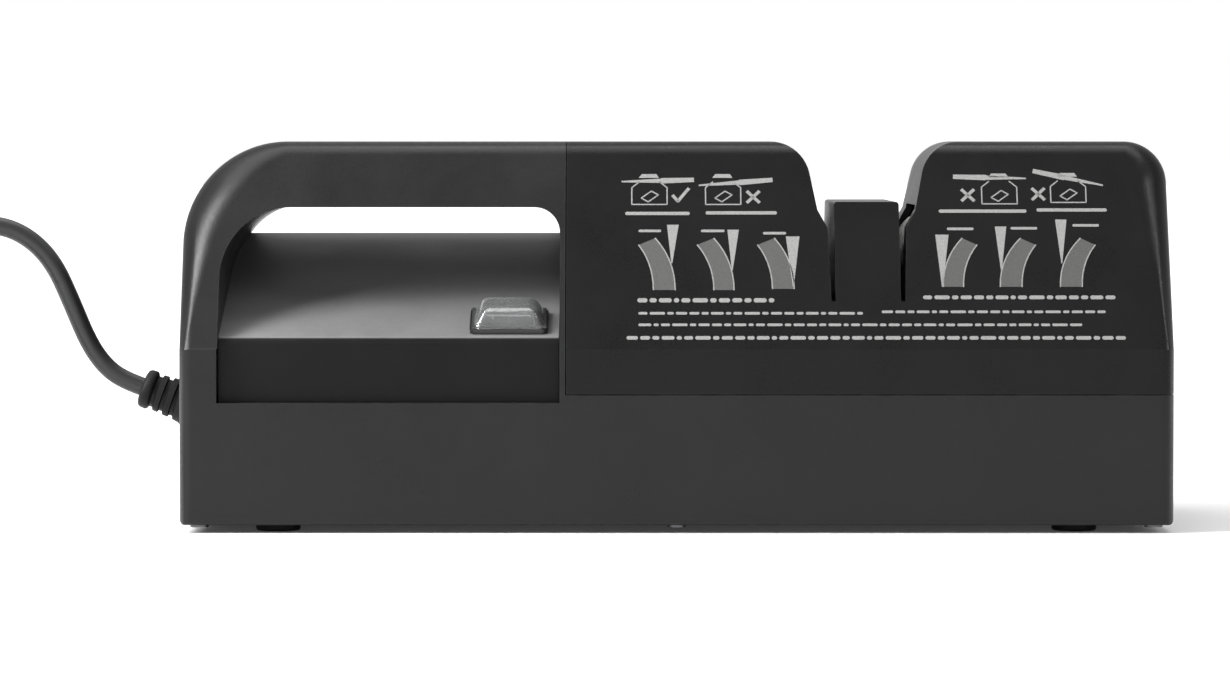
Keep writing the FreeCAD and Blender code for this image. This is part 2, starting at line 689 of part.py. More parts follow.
def gear(side):
    """Spur gear with involute flanks; the right one is turned by half a tooth to mesh."""
    pitch_r = GEAR_MODULE * GEAR_TEETH / 2
    base_r = pitch_r * math.cos(math.radians(20))
    tip_r = pitch_r + GEAR_MODULE
    root_r = pitch_r - 1.25 * GEAR_MODULE
    x0 = DRIVE_X[side]
    turn = math.pi / GEAR_TEETH if side == "right" else 0.0

    def flank(radius):
        pressure = math.acos(min(1.0, base_r / radius))
        return math.tan(pressure) - pressure

    half_tooth = math.pi / (2 * GEAR_TEETH) - GEAR_BACKLASH / 2 / pitch_r
    points = []
    for i in range(GEAR_TEETH):
        middle = 2 * math.pi * i / GEAR_TEETH + turn
        levels = [root_r, base_r + 0.1, pitch_r, tip_r]
        sides = [(r, half_tooth + flank(pitch_r) - flank(max(r, base_r))) for r in levels]
        for r, angle in sides:
            points.append((r, middle - angle))
        for r, angle in sides[::-1]:
            points.append((r, middle + angle))
    corners = [V(x0 + r * math.cos(a), GEAR_V, r * math.sin(a)) for r, a in points]
    face = Part.Face(Part.makePolygon(corners + [corners[0]]))
    solid = face.extrude(V(0, GEAR_WIDTH, 0))
    hub = ring(SHAFT_R + 4, 0, x0, 0, CHASSIS_V + BEARING_WIDTH, GEAR_V + 0.5)
    solid = solid.fuse(hub)
    for i in range(5):
        angle = 2 * math.pi * i / 5
        reach = (SHAFT_R + 4 + root_r) / 2
        hole = ring(4.2, 0, x0 + reach * math.cos(angle), reach * math.sin(angle), GEAR_V - 1, GEAR_V + 9)
        solid = solid.cut(hole)
    return tilted(solid.cut(ring(SHAFT_R + FIT, 0, x0, 0, 0, 60)))


def pulley(x, w, radius, bore):
    """Belt pulley with a lip each side; the belt runs on the middle."""
    end = PULLEY_V + DRIVE_BELT_WIDTH + 1
    solid = ring(radius, 0, x, w, PULLEY_V, end)
    for v0, v1 in ((PULLEY_V, PULLEY_V + PULLEY_LIP), (end - PULLEY_LIP, end)):
        solid = solid.fuse(ring(radius + 1.6, 0, x, w, v0, v1))
    return tilted(solid.cut(ring(bore + FIT, 0, x, w, 0, 60)))


def drive_belt():
    a = (MOTOR_X, MOTOR_RISE)
    b = (DRIVE_X["left"], 0.0)
    v0 = PULLEY_V + PULLEY_LIP + 0.3
    v1 = PULLEY_V + DRIVE_BELT_WIDTH + 1 - PULLEY_LIP - 0.3
    gap = DRIVE_BELT_GAP
    inner = loop(a, MOTOR_PULLEY_R + gap, b, DRIVEN_PULLEY_R + gap, v0 - 1, v1 + 1)
    thick = gap + DRIVE_BELT_THICK
    return tilted(loop(a, MOTOR_PULLEY_R + thick, b, DRIVEN_PULLEY_R + thick, v0, v1).cut(inner))


# Grinding belts, idlers and tension arms

def idler(side):
    return (BLOCK_X + SIDES[side] * IDLER_HALF_SPAN, IDLER_RISE)


def pivot(side):
    return (BLOCK_X + SIDES[side] * ARM_PIVOT_HALF, ARM_PIVOT_RISE)


def tail(side):
    x, w = pivot(side)
    return (x + SIDES[side] * ARM_TAIL_REACH, w - ARM_TAIL_DROP)


def lug(side):
    x, w = tail(side)
    return (x, w - ARM_TAIL_R - 0.3 - SPRING_LENGTH - 2.0)


def abrasive_belt(side):
    a = (DRIVE_X[side], 0.0)
    b = idler(side)
    half = BELT_HALF - 0.5
    inner = loop(a, DRIVE_R + BELT_GAP, b, IDLER_R + BELT_GAP, -half - 1, half + 1)
    thick = BELT_GAP + BELT_THICK
    return tilted(loop(a, DRIVE_R + thick, b, IDLER_R + thick, -half, half).cut(inner))


def idler_roller(side):
    x, w = idler(side)
    roller = ring(IDLER_R, SHAFT_R - 1 + RUNNING_FIT, x, w, -BELT_HALF, BELT_HALF)
    groove = ring(IDLER_R - 2.2, SHAFT_R + 1.2, x, w, -BELT_HALF - 1, -BELT_HALF + 2)
    return tilted(roller.cut(groove))


def arm_v():
    return CHASSIS_V + CHASSIS_THICK + 0.3


def tension_arm(side):
    v0 = arm_v()
    v1 = v0 + ARM_THICK
    x, w = pivot(side)
    solid = loop(pivot(side), ARM_END_R, idler(side), ARM_END_R - 0.5, v0, v1)
    solid = solid.fuse(loop(pivot(side), ARM_END_R - 0.5, tail(side), ARM_TAIL_R, v0, v1))
    solid = solid.cut(ring(SHAFT_R + RUNNING_FIT, 0, x, w, v0 - 1, v1 + 1))
    x, w = idler(side)
    return tilted(solid.removeSplitter().cut(ring(SHAFT_R - 1 + FIT, 0, x, w, v0 - 1, v1 + 1)))


def idler_axle(side):
    x, w = idler(side)
    axle = ring(SHAFT_R - 1, 0, x, w, -BELT_HALF - 1.6, arm_v() + ARM_THICK)
    head = ring(SHAFT_R + 1, 0, x, w, -BELT_HALF - 1.8, -BELT_HALF - 0.4)
    collar = ring(SHAFT_R + 1, 0, x, w, BELT_HALF + 0.5, arm_v())
    return tilted(union([axle, head, collar]))


def arm_pivots():
    studs = []
    for side in SIDES:
        x, w = pivot(side)
        stud = ring(SHAFT_R - FIT, 0, x, w, CHASSIS_V, arm_v() + ARM_THICK + 0.3)
        head = ring(SHAFT_R + 2.5, 0, x, w, arm_v() + ARM_THICK + 0.3, arm_v() + ARM_THICK + 1.5)
        studs.append(tilted(stud.fuse(head).removeSplitter()))
        x, w = lug(side)
        studs.append(tilted(ring(2.0 - FIT, 0, x, w, CHASSIS_V, CHASSIS_V + CHASSIS_THICK + 4.4)))
    return Part.makeCompound(studs)


def tension_springs():
    springs = []
    for side in SIDES:
        x, w = lug(side)
        v = CHASSIS_V + CHASSIS_THICK + SPRING_R + SPRING_WIRE_R + 0.5
        bottom = V(x, v, w + 2.3)
        helix = Part.makeHelix(SPRING_LENGTH / (SPRING_TURNS + 1), SPRING_LENGTH - 2, SPRING_R)
        helix.translate(bottom + V(0, 0, 0.6))
        start = helix.Edges[0].valueAt(helix.Edges[0].FirstParameter)
        tangent = helix.Edges[0].tangentAt(helix.Edges[0].FirstParameter)
        circle = Part.Wire(Part.makeCircle(SPRING_WIRE_R, start, tangent))
        springs.append(tilted(Part.Wire(helix.Edges).makePipeShell([circle], True, True)))
    return Part.makeCompound(springs)


# Motor

def motor_ring(radius, bore, v0, v1):
    return ring(radius, bore, MOTOR_X, MOTOR_RISE, v0, v1)


def motor_can():
    can = motor_ring(MOTOR_R, 0, MOTOR_FRONT + END_CAP_THICK, MOTOR_REAR)
    can = can.cut(motor_ring(MOTOR_R - MOTOR_WALL, 0, MOTOR_FRONT, MOTOR_REAR - MOTOR_WALL))
    can = can.cut(motor_ring(7 + FIT, 0, 0, 60))
    for s in (-1, 1):
        can = can.cut(ring(1.5 + FIT, 0, MOTOR_X + s * 17, MOTOR_RISE, 0, 60))
    for i in range(8):
        angle = math.radians(22.5 + 45 * i)
        x, w = MOTOR_X + 14 * math.cos(angle), MOTOR_RISE + 14 * math.sin(angle)
        can = can.cut(ring(2.6, 0, x, w, MOTOR_REAR - 5, MOTOR_REAR + 5))
    return tilted(can)


def motor_end_cap():
    cap = motor_ring(MOTOR_R, 7 + FIT, MOTOR_FRONT, MOTOR_FRONT + END_CAP_THICK)
    step = motor_ring(MOTOR_R - MOTOR_WALL - FIT, 16.5, MOTOR_FRONT + 2, MOTOR_FRONT + END_CAP_THICK + 3)
    return tilted(cap.fuse(step).removeSplitter())


def motor_magnets():
    radius = MOTOR_R - MOTOR_WALL - FIT
    shell = motor_ring(radius, radius - MAGNET_THICK, CORE_FRONT - 3, CORE_REAR + 3)
    slot = Part.makeBox(22, 60, 80, V(MOTOR_X - 11, -30, MOTOR_RISE - 40))
    return tilted(Part.makeCompound(shell.cut(slot).Solids))


def motor_bearings():
    parts = []
    for v0, v1 in ((MOTOR_FRONT, MOTOR_FRONT + 5), (MOTOR_REAR - 4.5, MOTOR_REAR + 0.2)):
        parts.append(tilted(motor_ring(7, MOTOR_SHAFT_R + RUNNING_FIT, v0, v1)))
    return Part.makeCompound(parts)


def core_radius():
    return MOTOR_R - MOTOR_WALL - MAGNET_THICK - AIR_GAP


def armature_core():
    radius = core_radius()
    core = motor_ring(radius, 0, CORE_FRONT, CORE_REAR)
    for i in range(CORE_SLOTS):
        angle = 2 * math.pi * i / CORE_SLOTS
        slot = Part.makeBox(radius, 80, 1.6, V(radius - 7, -40, -0.8))
        slot.rotate(V(0, 0, 0), V(0, 1, 0), math.degrees(angle))
        slot.translate(V(MOTOR_X, 0, MOTOR_RISE))
        core = core.cut(slot)
    return tilted(core.cut(motor_ring(MOTOR_SHAFT_R + FIT, 0, -50, 50)))


def armature_winding():
    radius = core_radius() - 2.5
    rings = []
    for v0, v1 in ((CORE_FRONT - WINDING_LENGTH, CORE_FRONT), (CORE_REAR, CORE_REAR + WINDING_LENGTH)):
        lump = motor_ring(radius, MOTOR_SHAFT_R + 1.5, v0, v1)
        edges = [e for e in lump.Edges if e.Closed and e.BoundBox.XLength > radius * 1.9]
        rings.append(tilted(lump.makeFillet(1.8, edges)))
    return Part.makeCompound(rings)


def commutator_v():
    return CORE_FRONT - WINDING_LENGTH - COMMUTATOR_LENGTH - 0.5


def commutator():
    v0 = commutator_v()
    solid = motor_ring(COMMUTATOR_R, 0, v0, v0 + COMMUTATOR_LENGTH)
    for i in range(CORE_SLOTS):
        slot = Part.makeBox(3, 30, 0.5, V(COMMUTATOR_R - 1, v0 - 10, -0.25))
        slot.rotate(V(0, 0, 0), V(0, 1, 0), 360.0 * i / CORE_SLOTS)
        slot.translate(V(MOTOR_X, 0, MOTOR_RISE))
        solid = solid.cut(slot)
    return tilted(solid.cut(motor_ring(MOTOR_SHAFT_R + FIT, 0, -50, 50)))


def carbon_brushes():
    v0 = commutator_v() + 0.6
    brushes = []
    for s in (-1, 1):
        x0 = MOTOR_X + s * (COMMUTATOR_R + 0.3)
        x1 = MOTOR_X + s * 16.2
        brush = Part.makeBox(abs(x1 - x0), COMMUTATOR_LENGTH - 1.6, 5, V(min(x0, x1), v0, MOTOR_RISE - 2.5))
        brushes.append(tilted(brush))
    return Part.makeCompound(brushes)


def motor_shaft():
    return tilted(motor_ring(MOTOR_SHAFT_R, 0, MOTOR_FRONT + 0.5, PULLEY_V + DRIVE_BELT_WIDTH + 2))


def motor_fan():
    v0 = CORE_REAR + WINDING_LENGTH + 0.7
    parts = [motor_ring(FAN_R, 0, v0, v0 + 0.8), motor_ring(6, 0, v0, v0 + 3.2)]
    for i in range(FAN_BLADES):
        blade = Part.makeBox(FAN_R - 6, 3.2, 0.9, V(5.5, v0, -0.45))
        blade.rotate(V(0, 0, 0), V(0, 1, 0), 360.0 * i / FAN_BLADES)
        blade.translate(V(MOTOR_X, 0, MOTOR_RISE))
        parts.append(blade)
    return tilted(union(parts).cut(motor_ring(MOTOR_SHAFT_R + FIT, 0, -50, 50)))


def motor_bracket():
    v0 = MOTOR_REAR
    low = -40.0
    x0, x1 = MOTOR_X - BRACKET_HALF, MOTOR_X + BRACKET_HALF
    top = MOTOR_RISE + 20
    plate = prism([(x0, low), (x1, low), (x1, top, 14), (x0, top, 14)], "XZ", v0, v0 + BRACKET_THICK)
    plate = plate.cut(motor_ring(8, 0, 0, 60))
    for s in (-1, 1):
        plate = plate.cut(ring(1.5 + FIT, 0, MOTOR_X + s * 17, MOTOR_RISE, 0, 60))
    plate = tilted(plate).cut(box(-LENGTH, LENGTH, -DEPTH, DEPTH, -DEPTH, BOSS_TOP_Z))
    rear = bracket_rear_y() + 2
    foot = box(x0, x1, rear - 34, rear, BOSS_TOP_Z, BOSS_TOP_Z + BRACKET_THICK)
    solid = union([plate, foot])
    for x, y in motor_bosses():
        solid = solid.cut(rod(1.5 + FIT, V(x, y, 0), V(0, 0, 1), 20))
    return solid


def motor_screws():
    screws = []
    for s in (-1, 1):
        head = V(MOTOR_X + s * 17, MOTOR_REAR + BRACKET_THICK + 1.2, MOTOR_RISE)
        screws.append(tilted(screw(head, V(0, -1, 0), 5, 1.5, 2.6, 1.2)))
    return Part.makeCompound(screws)


def housing_screws():
    screws = []
    for x, y in post_places():
        screws.append(screw(V(x, y, FOOT_HEIGHT - 0.8), V(0, 0, 1), 14))
    return Part.makeCompound(screws)


# Switch

def switch_body():
    x0, y0 = SWITCH_X - SWITCH_LENGTH / 2, SWITCH_ALONG - SWITCH_WIDTH / 2
    half = (SWITCH_LENGTH / 2, SWITCH_WIDTH / 2)
    bezel = prism([(x0, y0, 2), (x0 + 2 * half[0], y0, 2), (x0 + 2 * half[0], y0 + 2 * half[1], 2),
                   (x0, y0 + 2 * half[1], 2)], "XY", 0, BEZEL_HEIGHT)
    fit = 0.15
    tub = Part.makeBox(CUTOUT_LENGTH - 2 * fit, CUTOUT_WIDTH - 2 * fit, SWITCH_DEPTH + 0.5, V(
        SWITCH_X - CUTOUT_LENGTH / 2 + fit, SWITCH_ALONG - CUTOUT_WIDTH / 2 + fit, -SWITCH_DEPTH))
    well = Part.makeBox(CUTOUT_LENGTH - 3, CUTOUT_WIDTH - 3, 20, V(
        SWITCH_X - CUTOUT_LENGTH / 2 + 1.5, SWITCH_ALONG - CUTOUT_WIDTH / 2 + 1.5, -6.5))
    solid = union([bezel, tub]).cut(well)
    for dx in (-SWITCH_PIN_X, SWITCH_PIN_X):
        pin = Part.makeBox(0.8, 4, 3.5, V(SWITCH_X + dx - 0.4, SWITCH_ALONG - 2, -SWITCH_DEPTH - 3))
        solid = solid.fuse(pin)
    pin_line = rod(1.0, V(SWITCH_X, SWITCH_ALONG - CUTOUT_WIDTH / 2 + 0.5, -1.5), V(0, 1, 0), CUTOUT_WIDTH - 1)
    return tray_frame(solid.fuse(pin_line).removeSplitter())


def rocker_pivot():
    return V(SWITCH_X, SWITCH_ALONG, -1.5)


def switch_rocker():
    half = CUTOUT_LENGTH / 2 - 1.5 - 0.8
    x, z = SWITCH_X, 0.0
    points = [(x - half, z - 3.5), (x - half, z + 3.4), (x, z + 1.9), (x + half, z + 3.4), (x + half, z - 3.5)]
    points += [(x, z - 4.2)]
    width = CUTOUT_WIDTH - 3 - 1.0
    solid = prism(points, "XZ", SWITCH_ALONG - width / 2, SWITCH_ALONG + width / 2)
    solid = solid.cut(rod(1.0 + RUNNING_FIT, rocker_pivot() - V(0, 20, 0), V(0, 1, 0), 40))
    solid.rotate(rocker_pivot(), V(0, 1, 0), -ROCKER_TILT_DEG)
    return tray_frame(solid)


def dome(inset):
    x0, x1 = SWITCH_X - SWITCH_LENGTH / 2 + 0.6 + inset, SWITCH_X + SWITCH_LENGTH / 2 - 0.6 - inset
    y0, y1 = SWITCH_ALONG - SWITCH_WIDTH / 2 + 0.6 + inset, SWITCH_ALONG + SWITCH_WIDTH / 2 - 0.6 - inset
    corner = 4 - inset
    solid = prism([(x0, y0, corner), (x1, y0, corner), (x1, y1, corner), (x0, y1, corner)], "XY",
                  BEZEL_HEIGHT, BEZEL_HEIGHT + CAP_HEIGHT - inset)
    top = BEZEL_HEIGHT + CAP_HEIGHT - inset
    edges = [e for e in solid.Edges if e.BoundBox.ZMin > top - 0.01]
    return solid.makeFillet(3.0 - inset, edges)


def switch_cap():
    solid = dome(0.0).cut(dome(CAP_WALL))
    return tray_frame(solid)


# Board and inner wiring

def control_board():
    board = box(BOARD_X0, BOARD_X1, -BOARD_Y, BOARD_Y, BOARD_Z, BOARD_Z + BOARD_THICK)
    for x, y in board_posts():
        board = board.cut(rod(1.5 + FIT, V(x, y, 0), V(0, 0, 1), 40))
    return board


def board_parts():
    top = BOARD_Z + BOARD_THICK
    x = (BOARD_X0 + BOARD_X1) / 2
    parts = [rod(6, V(x, -10, top), V(0, 0, 1), 16), box(x - 8, x + 8, 0, 8, top, top + 10)]
    parts.append(box(x - 7.5, x + 7.5, 12, 17, top, top + 14))
    parts.append(box(x - 3, x + 7, -24, -20, top, top + 7))
    for px, py in board_posts():
        parts.append(screw(V(px, py, top + 1.8), V(0, 0, -1), 7))
    return Part.makeCompound(parts)


def tube(points, radius, ends_square=True):
    """Round tube along runs joined by tangent arcs, each as large as its two runs allow."""
    edges = []
    last = points[0]
    length = 0.0
    radii = []
    for i in range(1, len(points) - 1):
        back = points[i - 1] - points[i]
        ahead = points[i + 1] - points[i]
        shorter = min(back.Length, ahead.Length)
        back, ahead = back.normalize(), ahead.normalize()
        half = (math.pi - back.getAngle(ahead)) / 2
        reach = 0.45 * shorter
        bend = reach / math.tan(half)
        radii.append(round(bend, 1))
        way = (back + ahead).normalize()
        centre = points[i] + way * (bend / math.cos(half))
        first, final = points[i] + back * reach, points[i] + ahead * reach
        edges.append(Part.LineSegment(last, first).toShape())
        edges.append(Part.Arc(first, centre - way * bend, final).toShape())
        last = final
    edges.append(Part.LineSegment(last, points[-1]).toShape())
    length = sum(e.Length for e in edges)
    start = (points[1] - points[0]).normalize()
    circle = Part.Wire(Part.makeCircle(radius, points[0], start))
    solid = Part.Wire(edges).makePipeShell([circle], True, False)
    return solid, length, radii


def inner_wires():
    """Leads from the board to the motor and the switch, and from the gland to the board."""
    x = BOARD_X1 - 3
    z = BOARD_Z + BOARD_THICK
    brush = place(MOTOR_X, MOTOR_FRONT, MOTOR_RISE)
    wires = []
    along = V(0, math.cos(TILT), math.sin(TILT))
    for dx, y in ((-8, -3), (8, 3)):
        end = V(brush.x + dx, brush.y, brush.z)
        route = [V(x, y - 14, z), V(x, y - 14, z + 14), V(BOARD_X1 + 4, brush.y - 8, 30 + y)]
        route += [end - along * 7, end - along * 0.1]
        wires.append(tube(route, 0.9)[0])
    under = tray_point(SWITCH_X - SWITCH_PIN_X - 0.45, SWITCH_ALONG, -SWITCH_DEPTH - 1.5)
    front = RECESS_Y + TRAY_THICK + 3.2
    route = [V(x, 18, z), V(x, 18, z + 28), V(x - 3, -22, 54), V(MOTOR_X - 20, front, 54)]
    route += [V(MOTOR_X + 6, front, 53), under - V(6, 0, 0), under]
    wires.append(tube(route, 0.9)[0])
    return Part.makeCompound(wires)


def tray_point(x, along, up):
    c, s = math.cos(tray_angle()), math.sin(tray_angle())
    return V(x, RECESS_Y + along * c - up * s, TRAY_FRONT_Z + along * s + up * c)


def inner_lead():
    start = V(-LENGTH / 2, 0, GLAND_Z) - gland_axis() * (WALL + 3.5)
    x = (BOARD_X0 + BOARD_X1) / 2 + 2
    inward = gland_axis() * -1
    end = V(x, -22, BOARD_Z + BOARD_THICK + 7)
    route = [start, start + inward * 9, V(x - 2, -12, 38), end + V(0, 0, 8), end]
    return tube(route, CORD_D / 2 - 0.6)[0]


# Mains lead

def cord_gland():
    way = gland_axis()
    wall = V(-LENGTH / 2, 0, GLAND_Z)
    tip = wall + way * GLAND_LENGTH
    sleeve = Part.makeCone(GLAND_R, GLAND_TIP_R, GLAND_LENGTH - 2, wall + way * 2, way)
    sleeve = sleeve.fuse(rod(GLAND_R + 1.2, wall - way * 3, way, 6))
    sleeve = sleeve.common(box(-LENGTH, -LENGTH / 2, -DEPTH, DEPTH, 0, HEIGHT))
    parts = [sleeve]
    for i in range(4):
        reach = 5.0 + 3.0 * i
        parts.append(rod(GLAND_R + 0.5 - 0.3 * i, wall + way * reach, way, 1.4))
    parts.append(rod(GLAND_NECK_R, wall - way * (WALL + 3.5), way, 6))
    flange = rod(GLAND_FLANGE_R, wall - way * (WALL + 6), way, 9)
    flange = flange.common(box(-LENGTH / 2 + WALL, -LENGTH / 2 + WALL + 2.5, -DEPTH, DEPTH, 0, HEIGHT))
    parts.append(flange)
    solid = union(parts)
    end = rod(30, tip, way, 10)
    return solid.cut(end).cut(rod(CORD_D / 2 - 0.6 + FIT, wall - way * (WALL + 3.5), way * -1, 10))


def lead_points():
    """Route of the lead from the gland's tip, over its arch and down to the coil's start."""
    runs = [(GLAND_TILT_DEG, 7.0, 0.0), (39, 7.5, 0.0), (56, 9.0, -0.4), (68, 13.5, -1.2), (67, 12.5, -1.2),
            (52, 9.5, -1.4), (33, 9.0, -1.6), (11, 8.5, -1.6), (-11, 8.5, -1.4), (-33, 9.0, -1.0),
            (-53, 10.0, -0.6), (-68, 13.0, -0.2), (-76, 18.0, 0.2), (-80, 24.0, 0.4), (-66, 12.0, 0.4),
            (-50, 10.0, 0.3), (-32, 9.0, 0.2), (-10, 9.0, 0.0), (0, 9.0, 0.0)]
    point = V(-LENGTH / 2, 0, GLAND_Z) + gland_axis() * GLAND_LENGTH
    points = [point]
    for heading, length, drift in runs:
        angle = math.radians(heading)
        point = point + V(-length * math.cos(angle), drift, length * math.sin(angle))
        points.append(point)
    for lying in points[-2:]:
        lying.z = CORD_D / 2 + 0.05
    return points


def coil_edges():
    """Coil centreline: half turns spiral in on the surface, climb, and spiral out on top."""
    start = lead_points()[-1]
    edges = [Part.LineSegment(start, start - V(CORD_D, 0, 0)).toShape()]
    here = start - V(CORD_D, 0, 0)
    side = -1
    radius = COIL_OUTER_R
    turns = [(COIL_OUTER_R - i * COIL_PITCH / 2, 0.0) for i in range(COIL_LOWER_HALF_TURNS)]
    climb = COIL_OUTER_R - COIL_LOWER_HALF_TURNS * COIL_PITCH / 2
    turns.append((climb, COIL_LIFT))
    turns += [(climb + (i + 1) * COIL_PITCH / 2, 0.0) for i in range(COIL_UPPER_HALF_TURNS)]
    heading = V(-1, 0, 0)
    for radius, lift in turns:
        inward = V(0, side, 0)
        far = here + inward * (2 * radius) + V(0, 0, lift)
        if lift:
            reach = math.sqrt(radius ** 2 + lift ** 2 / 4)
            c0, c1 = here + heading * reach, far + heading * reach
            top = (c0 + c1) * 0.5
            edges.append(quarter(here, c0, top))
            edges.append(quarter(top, c1, far))
        else:
            centre = here + inward * radius
            edges.append(Part.Arc(here, centre + heading * radius, far).toShape())
        here = far
        heading = heading * -1
        side = -side
    edges.append(Part.LineSegment(here, here + heading * CORD_D).toShape())
    return edges, here + heading * CORD_D, heading


def quarter(first, corner, last):
    """Arc tangent to the lines from the corner to both ends."""
    half = (first - corner).getAngle(last - corner) / 2
    way = ((first - corner).normalize() + (last - corner).normalize()).normalize()
    reach = (first - corner).Length
    radius = reach * math.tan(half)
    middle = corner + way * (reach / math.cos(half) - radius)
    return Part.Arc(first, middle, last).toShape()


def cord_coil():
    edges, end, heading = coil_edges()
    start = edges[0].valueAt(edges[0].FirstParameter)
    circle = Part.Wire(Part.makeCircle(CORD_D / 2, start, V(-1, 0, 0)))
    solid = Part.Wire(edges).makePipeShell([circle], True, False)
    length = sum(e.Length for e in edges)
    samples = []
    along = 0.0
    for edge in edges:
        steps = max(2, int(edge.Length / 1.5))
        span = edge.LastParameter - edge.FirstParameter
        for k in range(steps):
            samples.append((along + edge.Length * k / steps, edge.valueAt(edge.FirstParameter + span * k / steps)))
        along += edge.Length
    gap = 1e9
    for i in range(0, len(samples)):
        for j in range(i + 1, len(samples), 1):
            if samples[j][0] - samples[i][0] > 6 * CORD_D:
                gap = min(gap, (samples[j][1] - samples[i][1]).Length)
    section = math.pi * CORD_D ** 2 / 4
    print("coil length", round(length, 1), "volume ratio", round(solid.Volume / section / length, 4),
          "least gap to itself", round(gap - CORD_D, 2))
    return solid


def cord_lead():
    points = lead_points()
    solid, length, radii = tube(points, CORD_D / 2)
    ratio = solid.Volume / (math.pi * CORD_D ** 2 / 4) / length
    print("lead length", round(length, 1), "volume ratio", round(ratio, 4), "bend radii", radii)
    for p in points:
        print("lead point", round(p.x, 1), round(p.y, 1), round(p.z, 1))
    return solid


def tail_points():
    edges, end, heading = coil_edges()
    bend = math.radians(5)
    corner = end + heading * TAIL_RUNS
    last = corner + V(heading.x * math.cos(bend), math.sin(bend), 0) * TAIL_RUNS
    return [end, corner, last], V(heading.x * math.cos(bend), math.sin(bend), 0)


def cord_tail():
    points, way = tail_points()
    solid, length, radii = tube(points, CORD_D / 2)
    print("tail length", round(length, 1), "bend radii", radii)
    return solid


def plug_place():
    points, way = tail_points()
    return points[-1], way


def along_plug(solid):
    """Moves a solid from the plug's frame (origin at the boot's end, +X to the pins) into place."""
    start, way = plug_place()
    moved = solid.copy()
    moved.rotate(V(0, 0, 0), V(0, 0, 1), math.degrees(math.atan2(way.y, way.x)))
    moved.translate(start)
    return moved


def plug_body():
    start, way = plug_place()
    thick = start.z - 0.1
    x1 = BOOT_LENGTH + PLUG_LENGTH
    half = PLUG_WIDTH / 2
    corners = [(BOOT_LENGTH - 4, -BOOT_R), (BOOT_LENGTH + 8, -half, 8), (x1, -half, 4), (x1, half, 4)]
    corners += [(BOOT_LENGTH + 8, half, 8), (BOOT_LENGTH - 4, BOOT_R)]
    solid = prism(corners, "XY", -thick, thick)
    side = [(BOOT_LENGTH - 5, -BOOT_R), (BOOT_LENGTH + 9, -thick, 6), (x1, -thick, 2), (x1, thick, 2)]
    side += [(BOOT_LENGTH + 9, thick, 6), (BOOT_LENGTH - 5, BOOT_R)]
    solid = solid.common(prism(side, "XZ", -half - 1, half + 1))
    boot = Part.makeCone(CORD_D / 2 + 0.9, BOOT_R, BOOT_LENGTH - 1, V(0, 0, 0), V(1, 0, 0))
    return along_plug(union([solid, boot]))


def plug_pins():
    x1 = BOOT_LENGTH + PLUG_LENGTH
    pins = []
    for s in (-1, 1):
        pin = rod(PIN_R, V(x1, s * PIN_SPAN / 2, 0), V(1, 0, 0), PIN_LENGTH)
        tip = [e for e in pin.Edges if e.Closed and e.BoundBox.XMin > x1 + PIN_LENGTH - 0.1]
        pins.append(along_plug(pin.makeFillet(1.0, tip)))
    return Part.makeCompound(pins)


def models():
    parts = {
        "base_shell": base_shell, "bottom_plate": bottom_plate, "rubber_feet": rubber_feet,
        "housing_screws": housing_screws, "upper_housing": upper_housing, "handle_shell": handle_shell,
        "handle_liner": handle_liner, "belt_cover": belt_cover, "switch_body": switch_body,
        "switch_rocker": switch_rocker, "switch_cap": switch_cap, "cord_gland": cord_gland,
        "cord_lead": cord_lead, "cord_coil": cord_coil, "cord_tail": cord_tail, "plug_body": plug_body,
        "plug_pins": plug_pins, "inner_lead": inner_lead, "inner_wires": inner_wires,
        "control_board": control_board, "board_parts": board_parts, "chassis_plate": chassis_plate,
        "rear_plate": rear_plate, "plate_spacers": plate_spacers, "chassis_screws": chassis_screws,
        "shaft_bearings": shaft_bearings, "drive_belt": drive_belt, "arm_pivots": arm_pivots,
        "tension_springs": tension_springs, "motor_bracket": motor_bracket, "motor_can": motor_can,
        "motor_end_cap": motor_end_cap, "motor_magnets": motor_magnets, "motor_bearings": motor_bearings,
        "carbon_brushes": carbon_brushes, "motor_screws": motor_screws, "motor_shaft": motor_shaft,
        "armature_core": armature_core, "armature_winding": armature_winding, "commutator": commutator,
        "motor_fan": motor_fan,
    }
    shapes = {name: make() for name, make in parts.items()}
    shapes["motor_pulley"] = pulley(MOTOR_X, MOTOR_RISE, MOTOR_PULLEY_R, MOTOR_SHAFT_R)
    shapes["driven_pulley"] = pulley(DRIVE_X["left"], 0.0, DRIVEN_PULLEY_R, SHAFT_R)
    for side in SIDES:
        shapes["drive_shaft_" + side] = drive_shaft(side)
        shapes["drive_roller_" + side] = drive_roller(side)
        shapes["gear_" + side] = gear(side)
        shapes["abrasive_belt_" + side] = abrasive_belt(side)
        shapes["idler_roller_" + side] = idler_roller(side)
        shapes["idler_axle_" + side] = idler_axle(side)
        shapes["tension_arm_" + side] = tension_arm(side)
    return shapes


os.makedirs("parts", exist_ok=True)
for node, shape in models().items():
    solids = len(shape.Solids)
    if not shape.isValid() or solids == 0 or shape.Volume <= 0:
        print("bad", node, shape.isValid(), solids, round(shape.Volume, 1))
    print(node, solids, round(shape.Volume))
    shape.exportStep("parts/" + node + ".step")
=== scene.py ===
"""Electric knife sharpener: finishes, printed marks, mains lead and stage."""

import math

import bmesh
import bpy
from mathutils import Matrix, Vector


